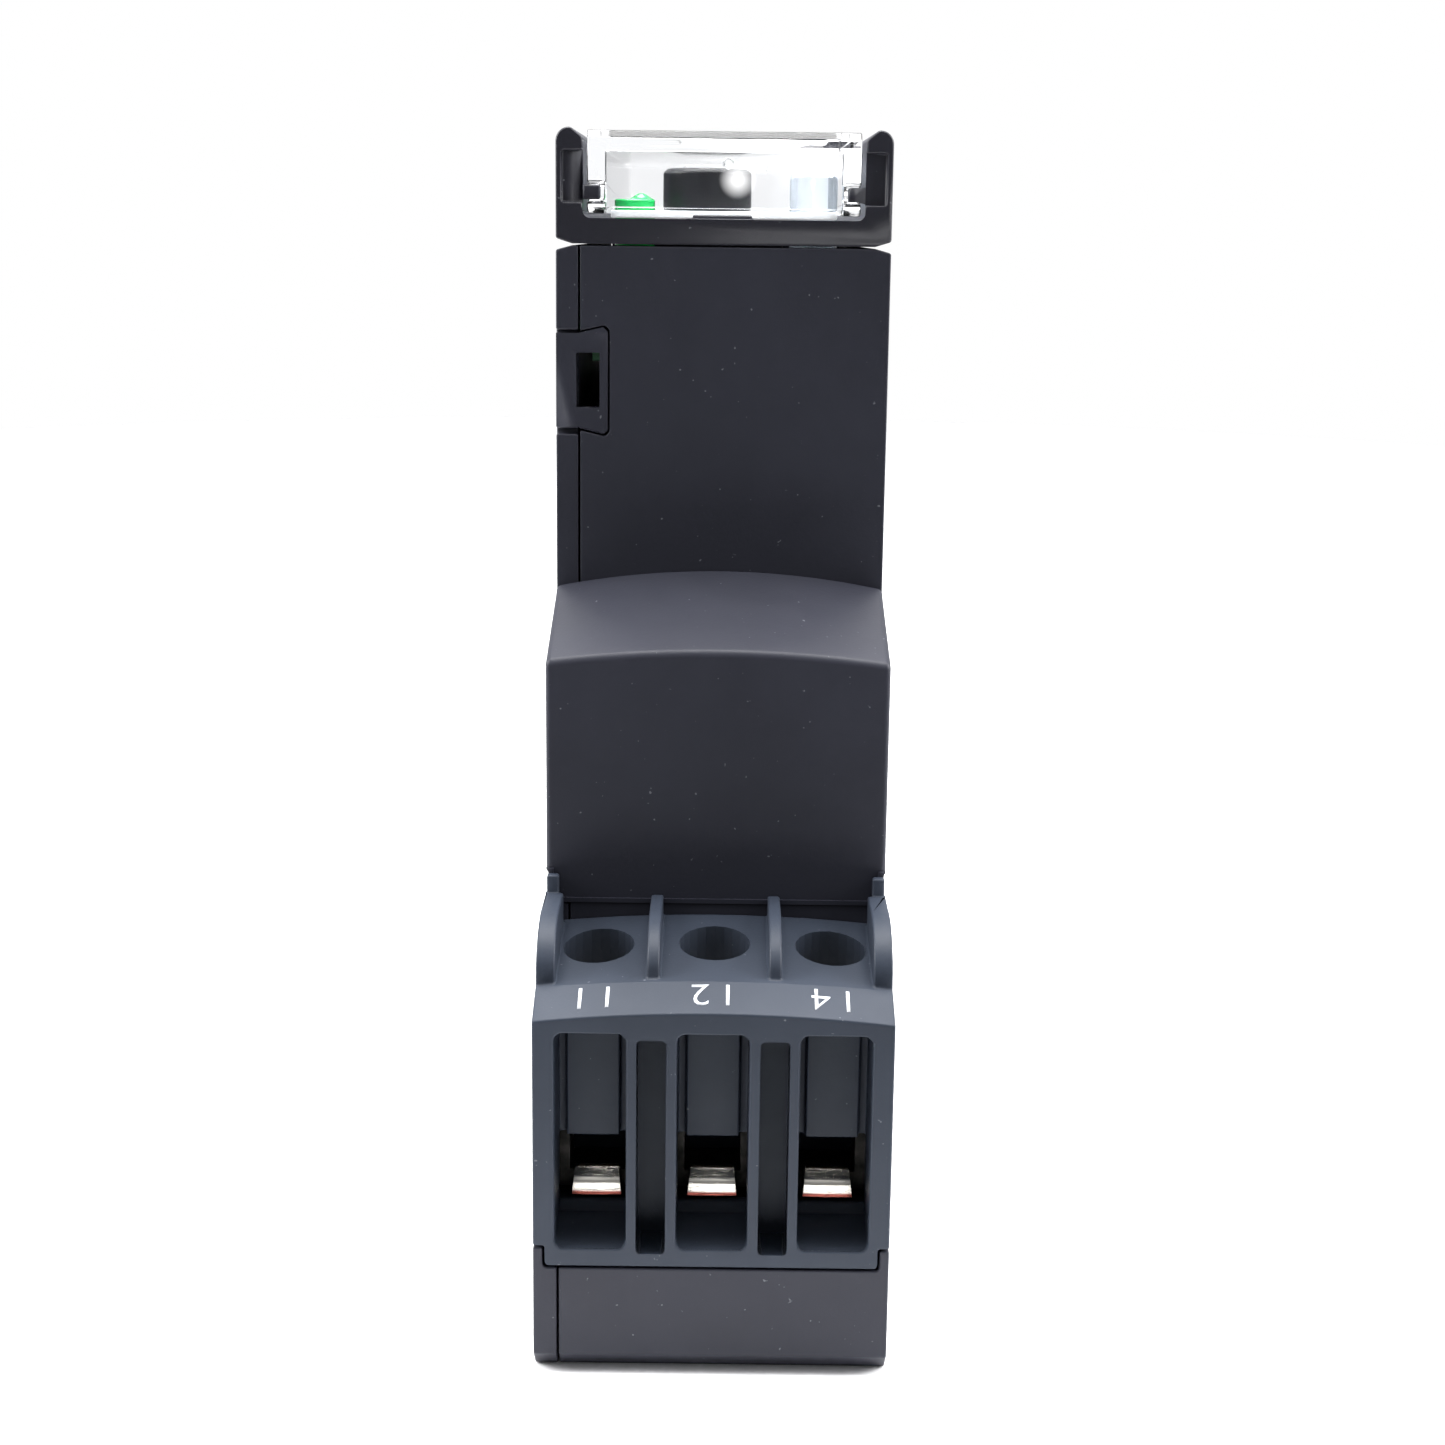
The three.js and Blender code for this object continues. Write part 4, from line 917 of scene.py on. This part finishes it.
# ---- terminals
@dataclass
class TerminalRow(SubAssembly):
    """One row of three cage-clamp screw terminals in its block, with its printed numbers."""

    row: str = "top"
    numbers: tuple[str, str, str] = ("11", "12", "14")
    letter: float = 1.85 * MM
    stroke: float = 0.02 * MM
    inset: float = 1.75 * MM
    drop: float = 5 * MM
    lip_top: float = 1.36 * MM
    lip_bottom: float = 1.6 * MM
    lip_wall: float = 0.14 * MM
    lip_bends: tuple[float, ...] = (0, 0.2, 0.5, 0.6, 1)
    lip_depths: tuple[float, ...] = (1.05, 0.8, 0.16, 0.05, 0.0)
    lip_heights: tuple[float, ...] = (1.68, 1.64, 1.14, 0.98, 0.1)
    lip_bow: float = 0.05 * MM
    lip_front: float = 0.06 * MM

    def build(self) -> None:
        """Builds and dresses the row."""
        screws = [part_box(f"clamp_screw_{self.row}_{column}") for column in COLUMNS]
        axes = tuple((low + high) / 2 for low, high in screws)
        block = self.refine(f"terminal_block_{self.row}", edge=0.13 * MM, spared=axes)[0]
        for column, text in zip(COLUMNS, self.numbers):
            tag = f"{self.row}_{column}"
            # The cages take dark steel in place of their nickel finish: painted shade.
            self.refine(f"clamp_cage_{tag}", edge=0.07 * MM, look=CAGE_STEEL_PAINTED_SHADE.material())
            self.refine(f"clamp_screw_{tag}", edge=0.07 * MM)
            self.refine(f"busbar_{tag}", edge=0.1 * MM)
            self.keep(self.jaw_lip(tag), f"clamp_{tag}", Finish.NICKEL, look=JawPlating().material())
            self.number(tag, text, block)

    def jaw_lip(self, tag: str) -> Object:
        """The rolled front of the clamp's lower jaw.

        The surface runs down a profile of a short flat, a slope and an upright edge, and its half
        width grows evenly from lip_top to lip_bottom. The ring round it is the profile and its copy set
        back by the metal's thickness.

        Args:
            tag: row and column of the terminal.

        Returns:
            The lip's object.
        """
        low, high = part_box(f"clamp_cage_{tag}")
        sign = 1 if self.row == "top" else -1
        front = (low.y if sign > 0 else -high.y) - self.lip_front
        turn = np.linspace(0, 1, 26)
        y = front + np.interp(turn, self.lip_bends, self.lip_depths) * MM
        z = low.z + np.interp(turn, self.lip_bends, self.lip_heights) * MM
        outer = np.stack([y, z], -1)
        back = outset(outer, np.full(len(outer), self.lip_wall))
        back[0], back[-1] = outer[0] + [self.lip_wall, 0], outer[-1] + [self.lip_wall, 0]
        ring = np.concatenate([outer, back[::-1]])
        share = np.concatenate([turn, turn[::-1]])
        half = self.lip_top + (self.lip_bottom - self.lip_top) * share
        centre = (low.x + high.x) / 2
        across = np.linspace(-1, 1, 9)[:, None]
        x = centre + across * half
        y = sign * (ring[:, 0] + self.lip_bow * across ** 2)
        points = np.stack([x, y, np.broadcast_to(ring[:, 1], x.shape)], -1)
        return swept(f"clamp_lip_{tag}", points)

    def number(self, tag: str, text: str, block: Object) -> None:
        """Prints a terminal's number on the block's slope, read from the terminal side.

        Args:
            tag: row and column of the terminal.
            text: the number.
            block: the refined block that it lies on.
        """
        low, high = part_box(f"clamp_cage_{tag}")
        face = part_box(f"terminal_block_{self.row}")
        sign = 1 if self.row == "top" else -1
        front = face[0].y if sign > 0 else face[1].y
        place = Vector(((low.x + high.x) / 2, front + sign * self.inset, face[1].z + self.drop))
        piece = printed(f"mark_{tag}", text, self.letter, place, 0 if sign < 0 else math.pi)
        drape(piece, block, self.stroke)
        self.keep(piece, "housing", Finish.PLATE, look=PAD_PRINT.material())


def printed(name: str, text: str, height: float, place: Vector, turn: float) -> Object:
    """A flat sheet in the shape of a text, centred on a place and facing up.

    Args:
        name: piece name.
        text: what it says.
        height: height of its figures.
        place: its centre.
        turn: turn about the vertical in radians.

    Returns:
        A mesh object with its place in its mesh.
    """
    curve = bpy.data.curves.new(name, "FONT")
    curve.body, curve.size = text, height / CAPITAL_SHARE
    curve.align_x, curve.align_y = "CENTER", "CENTER"
    curve.resolution_u, curve.space_character, curve.offset = 3, 1.3, -0.012 * height
    writing = linked(f"{name}_writing", curve)
    bpy.context.view_layer.update()
    mesh = baked(writing)
    bpy.data.objects.remove(writing)
    fine = bmesh.new()
    fine.from_mesh(mesh)
    bmesh.ops.remove_doubles(fine, verts=fine.verts, dist=height / 500)
    bmesh.ops.triangulate(fine, faces=fine.faces)
    bmesh.ops.transform(fine, matrix=Matrix.Translation(place) @ Matrix.Rotation(turn, 4, "Z"),
                        verts=fine.verts)
    fine.to_mesh(mesh)
    fine.free()
    return linked(name, mesh)


def drape(piece: Object, under: Object, thickness: float) -> None:
    """Drops a flat sheet straight down onto a piece and gives it its thickness.

    Args:
        piece: sheet above the piece.
        under: piece that it comes to lie on.
        thickness: thickness of the sheet.
    """
    drop = piece.modifiers.new("drop", "SHRINKWRAP")
    drop.wrap_method, drop.target, drop.use_project_z = "PROJECT", under, True
    drop.use_negative_direction, drop.use_positive_direction = True, False
    bpy.context.view_layer.update()
    mesh = baked(piece)
    piece.modifiers.clear()
    piece.data = mesh
    wall = piece.modifiers.new("ink", "SOLIDIFY")
    wall.thickness, wall.offset = thickness, 1.0


# ---- operating face
@dataclass
class OperatingFace(SubAssembly):
    """Front frame, face plate with its dials, hinged clear cover, knobs and indicator lenses."""

    dials: tuple[str, ...] = ("time", "range", "function")
    ticks: int = 11
    sweep_deg: float = 135
    tick_in: float = 3.75 * MM
    tick_out: float = 4.8 * MM
    tick_width: float = 0.28 * MM
    ink: float = 0.02 * MM
    figure: float = 1.25 * MM
    pointer_inset: float = 0.8 * MM
    pointer_half: tuple[float, ...] = (0.22, 0.22, 0.17)
    pointer_below: tuple[float, ...] = (0.52, 0.3, 0.25)
    dome_off: float = 0.45 * MM
    dome_radius: float = 1.0 * MM
    dome_rise: float = 0.42 * MM
    rim_fall: float = 0.1 * MM
    head_share: float = 0.62
    gate_ring: float = 0.3 * MM
    gate_tube: float = 0.07 * MM

    def build(self) -> None:
        """Builds and dresses the face."""
        self.refine("front_frame", edge=0.14 * MM)
        plate = self.refine("face_plate", edge=0.1 * MM)[0]
        self.refine("clear_cover", edge=0.1 * MM)
        for dial in self.dials:
            self.refine(f"knob_{dial}", edge=0.09 * MM)
            self.keep(self.pointer(dial), f"{dial}_knob", Finish.PLATE, look=PAD_PRINT.material())
            self.keep(self.scale(dial), "housing", Finish.KNOB)
            if dial != "time":
                self.figures(dial, plate)
        self.keep(self.green_lens(), "housing", Finish.GREEN, "lens_green")
        self.keep(self.clear_lens(), "housing", Finish.LENS, "lens_clear")
        self.keep(self.gate_mark(), "cover", Finish.COVER)

    def axis(self, dial: str) -> tuple[Vector, float]:
        """A knob's axis at the plate's top, and the height of the knob's top.

        Args:
            dial: which knob.

        Returns:
            The place on the plate, and the top height.
        """
        low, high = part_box(f"knob_{dial}")
        return Vector(((low.x + high.x) / 2, (low.y + high.y) / 2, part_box("face_plate")[1].z)), high.z

    def scale(self, dial: str) -> Object:
        """Printed ticks round a knob: thin radial blocks evenly spread over the knob's travel.

        Args:
            dial: which knob.

        Returns:
            The ticks as one piece.
        """
        centre, _ = self.axis(dial)
        turn = np.radians(np.linspace(-self.sweep_deg, self.sweep_deg, self.ticks)) + np.pi / 2
        radius = np.array([self.tick_in, self.tick_out, self.tick_out, self.tick_in])
        side = np.array([-1, -1, 1, 1]) * self.tick_width / 2
        out = np.stack([np.cos(turn), np.sin(turn)], -1)[:, None]
        across = np.stack([-np.sin(turn), np.cos(turn)], -1)[:, None]
        flat = np.array(centre)[:2] + out * radius[None, :, None] + across * side[None, :, None]
        heights = centre.z + np.array([-0.01 * MM, self.ink])
        levels = [np.dstack([flat, np.full(flat.shape[:2], z)]) for z in heights]
        points = np.concatenate(levels, 1)
        block = np.array([[0, 3, 2, 1], [4, 5, 6, 7], [0, 1, 5, 4], [1, 2, 6, 5],
                          [2, 3, 7, 6], [3, 0, 4, 7]])
        faces = (np.arange(self.ticks)[:, None, None] * 8 + block).reshape(-1, 4)
        return mesh_object(f"dial_{dial}", points, faces)

    def figures(self, dial: str, plate: Object) -> None:
        """Prints the first and last figure of a dial.

        Args:
            dial: which knob.
            plate: the refined plate that they lie on.
        """
        centre, _ = self.axis(dial)
        for text, side in (("0", -1), ("10", 1)):
            turn = math.radians(90 - side * self.sweep_deg)
            reach = self.tick_out + self.figure * 0.75
            place = centre + Vector((math.cos(turn) * reach, math.sin(turn) * reach, 3 * MM))
            piece = printed(f"figure_{dial}_{text}", text, self.figure, place, 0)
            drape(piece, plate, self.ink)
            self.keep(piece, "housing", Finish.KNOB)

    def pointer(self, dial: str) -> Object:
        """White inlay in the knob's pointer pocket: a rounded bar that stands just under the rim.

        Args:
            dial: which knob.

        Returns:
            The inlay.
        """
        centre, top = self.axis(dial)
        reach = (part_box(f"knob_{dial}")[1].x - centre.x) - self.pointer_inset
        turn = full_turn(24)
        size = np.array(self.pointer_half)[:, None] * MM
        level = (top - np.array(self.pointer_below) * MM)[:, None]
        x = centre.x + reach + size * 1.1 * np.sign(np.cos(turn)) * np.abs(np.cos(turn)) ** 0.5
        y = centre.y + size * np.sign(np.sin(turn)) * np.abs(np.sin(turn)) ** 0.5
        return swept(f"pointer_{dial}", np.stack([x, y, np.broadcast_to(level, x.shape)], -1))

    def green_lens(self) -> Object:
        """Low green light pipe: a round foot with a small dome set off towards the knob.

        The height over the disc is the foot's height plus a bump that falls with the distance
        from the dome's own centre as a squared cosine.

        Returns:
            The lens.
        """
        low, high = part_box("lens_green")
        centre, radius = (low + high) / 2, (high.x - low.x) / 2
        turn = full_turn(64)
        reach = radius * np.concatenate([[0.002], np.linspace(0.08, 0.9, 18), [0.97, 1.0]])[:, None]
        x, y = reach * np.cos(turn), reach * np.sin(turn)
        away = np.clip(np.hypot(x - self.dome_off, y) / self.dome_radius, 0, 1)
        rim = np.clip((reach / radius - 0.9) / 0.1, 0, 1)
        bump = self.dome_rise * np.cos(away * np.pi / 2) ** 2
        z = high.z - self.dome_rise + bump - self.rim_fall * rim ** 2
        top = np.stack([centre.x + x, centre.y + y, z], -1)
        skirt = top[-1:].copy()
        skirt[..., 2] = low.z
        return swept("lens_green_domed", np.concatenate([top, skirt]))

    def clear_lens(self) -> Object:
        """Tall clear light pipe: a straight pillar with a round head and a shallow flat on top.

        Returns:
            The lens.
        """
        low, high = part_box("lens_clear")
        centre, radius = (low + high) / 2, (high.x - low.x) / 2
        turn = np.linspace(0, np.pi / 2, 20)
        head = self.head_share * radius
        round_r = radius - head + head * np.cos(turn)
        round_z = high.z - head + head * np.sin(turn)
        r = np.concatenate([[1e-6, radius], round_r, [1e-6]])[:, None]
        z = np.concatenate([[low.z, low.z], round_z, [high.z]])[:, None]
        x, y = centre.x + r * np.cos(full_turn(64)), centre.y + r * np.sin(full_turn(64))
        return swept("lens_clear_domed", np.stack([x, y, np.broadcast_to(z, x.shape)], -1))

    def gate_mark(self) -> Object:
        """The stub left where the cover was injected: a small raised ring on its end wall.

        A circle of the tube's radius is carried round a circle of the ring's radius.

        Returns:
            The ring.
        """
        low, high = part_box("clear_cover")
        place = np.array([0.25 * MM, low.y + 0.04 * MM, low.z + (high.z - low.z) * 0.62])
        u, v = full_turn(40)[:, None], full_turn(12)
        reach = self.gate_ring + self.gate_tube * np.cos(v)
        x, z = reach * np.cos(u), reach * np.sin(u)
        y = np.broadcast_to(self.gate_tube * np.sin(v), x.shape)
        return swept("cover_gate_mark", place + np.stack([x, y, z], -1), closed_path=True)


# ---- rail foot
@dataclass
class RailFoot(SubAssembly):
    """The sliding foot that hooks the relay onto its rail, and the coil spring behind it."""

    turns: float = 9
    wire: float = 0.2 * MM
    travel: float = 4 * MM

    def build(self) -> None:
        """Builds and dresses the foot."""
        self.refine("din_foot", edge=0.18 * MM)
        low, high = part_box("din_foot_spring")
        spring = self.keep(self.coil(low, high), "housing", Finish.SPRING, "din_foot_spring")
        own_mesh(spring)

    def coil(self, low: Vector, high: Vector) -> Object:
        """A helix of round wire whose pitch closes up at both ends.

        A circle of the wire's radius is carried along the helix, in the plane of the outward
        direction and the spring's own axis.

        Args:
            low: the spring's lowest corner.
            high: its highest corner.

        Returns:
            The spring.
        """
        radius = (high.x - low.x) / 2 - self.wire
        share = np.linspace(0, 1, int(self.turns * 28))
        turn = 2 * np.pi * self.turns * share
        ends = 0.5 - 0.5 * np.cos(np.pi * share)
        y = low.y + self.wire + (high.y - low.y - 2 * self.wire) * (0.6 * share + 0.4 * ends)
        middle = (low + high) / 2
        ring = full_turn(10)
        reach = radius + self.wire * np.cos(ring)
        x = middle.x + reach * np.cos(turn)[:, None]
        z = middle.z + reach * np.sin(turn)[:, None]
        y = y[:, None] + self.wire * np.sin(ring)
        return swept("din_foot_spring_coil", np.stack([x, y, z], -1))


# ---- electronics
@dataclass
class Electronics(SubAssembly):
    """Boards, the switching relay and the parts soldered beside it."""

    boards: tuple[str, ...] = ("main_board", "front_board", "board_header")
    relay: tuple[str, ...] = ("relay_base", "relay_case", "relay_coil", "relay_yoke", "relay_armature",
                              "relay_contact_moving", "relay_contact_closed", "relay_contact_open")
    parts: tuple[str, ...] = ("film_capacitor", "electrolytic_capacitor", "varistor", "microcontroller",
                              "bridge_rectifier", "led_green", "led_red", "potentiometer_time",
                              "potentiometer_range", "potentiometer_function")

    def build(self) -> None:
        """Builds and dresses the electronics."""
        self.refine(*self.boards, edge=0.05 * MM)
        self.refine(*self.relay, edge=0.08 * MM)
        self.refine(*self.parts, edge=0.1 * MM)


# ---- studio
@dataclass
class Studio:
    """White paper, a soft light overhead and at each side, and the camera."""

    camera_place: Triple = (0.32 * MM, -178.5 * MM, 71.5 * MM)
    down_deg: float = 12.22
    roll_deg: float = 0.7
    lens: float = 56.8
    paper_radius: float = 0.4
    paper_centre: tuple[float, float] = (0.0, 0.31)
    lamps: tuple[tuple, ...] = (("overhead", (0, 0.05, 0.42), (0, 0, 0), 0.30, 3.9),
                                ("left", (-0.36, -0.02, 0.24), (0, 0, 0.04), 0.24, 3.0),
                                ("right", (0.36, -0.02, 0.24), (0, 0, 0.04), 0.24, 3.0))
    room_dim: float = 0.26
    room_bright: float = 1.05

    def build(self) -> None:
        """Sets up the paper, the lights, the surroundings and the camera."""
        self.paper()
        for lamp in self.lamps:
            self.softbox(*lamp)
        self.surroundings()
        self.camera()
        bpy.context.scene.view_settings.view_transform = "Standard"

    def paper(self) -> None:
        """A flat round sheet of paper under the relay, on a polar grid of rings and spokes."""
        turn = full_turn(96)
        reach = np.linspace(0.01, 1, 12)[:, None] * self.paper_radius
        x = self.paper_centre[0] + reach * np.cos(turn)
        y = self.paper_centre[1] + reach * np.sin(turn)
        points = np.stack([x, y, np.full_like(x, -0.05 * MM)], -1)
        faces = grid_faces(12, 96, False, True).tolist() + [list(range(96))]
        sheet = mesh_object("paper", points, faces)
        sheet.data.materials.append(PAPER.material())
        sheet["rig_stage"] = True

    def softbox(self, name: str, place: Triple, aim: Triple, size: float, power: float) -> None:
        """A square area light that faces a point.

        Args:
            name: the light's name.
            place: its middle.
            aim: point that it faces.
            size: side in metres.
            power: watts.
        """
        lamp = bpy.data.lights.new(name, "AREA")
        lamp.shape, lamp.size, lamp.energy = "SQUARE", size, power
        holder = linked(name, lamp)
        holder.location = place
        holder.rotation_euler = (Vector(aim) - Vector(place)).to_track_quat("-Z", "Y").to_euler()

    def surroundings(self) -> None:
        """White surroundings behind and above, falling to a dim room in front.

        The camera sees plain white wherever it looks past the paper.
        """
        world = bpy.data.worlds.new("studio_surroundings")
        world.use_nodes = True
        bpy.context.scene.world = world
        tree = world.node_tree
        tree.nodes.clear()
        place = add_node(tree, "TexCoord")
        tilt = add_node(tree, "VectorMath", {"operation": "DOT_PRODUCT", 1: (0, 0.8, 0.6)},
                        {0: place.outputs["Generated"]})
        strength = between(tree, tilt.outputs["Value"], self.room_dim, self.room_bright, -0.35, 0.45)
        path = add_node(tree, "LightPath")
        room = add_node(tree, "Background", {"Color": (0.97, 0.98, 1.0, 1.0)},
                        {"Strength": strength})
        white = add_node(tree, "Background", {"Color": (1, 1, 1, 1), "Strength": 1.0})
        seen = add_node(tree, "MixShader", {}, {0: path.outputs["Is Camera Ray"],
                                                1: room.outputs[0], 2: white.outputs[0]})
        output = tree.nodes.new("ShaderNodeOutputWorld")
        tree.links.new(seen.outputs[0], output.inputs["Surface"])

    def camera(self) -> None:
        """The camera in front of the upper terminals, tipped down and rolled a little."""
        lens = bpy.data.cameras.new("camera")
        lens.lens, lens.clip_start, lens.clip_end = self.lens, 1 * MM, 20
        holder = linked("camera", lens)
        pitch = Matrix.Rotation(math.radians(90 - self.down_deg), 4, "X")
        roll = Matrix.Rotation(math.radians(self.roll_deg), 4, "Z")
        holder.matrix_world = Matrix.Translation(self.camera_place) @ pitch @ roll
        bpy.context.scene.camera = holder


def main() -> None:
    """Builds every sub-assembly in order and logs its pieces."""
    logging.basicConfig(level=logging.INFO, format="%(name)s %(message)s")
    groups = (Enclosure(), TerminalRow(row="top", numbers=("11", "12", "14")),
              TerminalRow(row="bottom", numbers=("21", "22", "24")), OperatingFace(), RailFoot(),
              Electronics())
    for group in groups:
        group.build()
        group.report()
    Studio().build()
    boxes = {"cad": CAD_BOX, "visual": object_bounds()}
    {name: [list(corner) for corner in box] for name, box in boxes.items()}


if __name__ == "__main__":
    main()
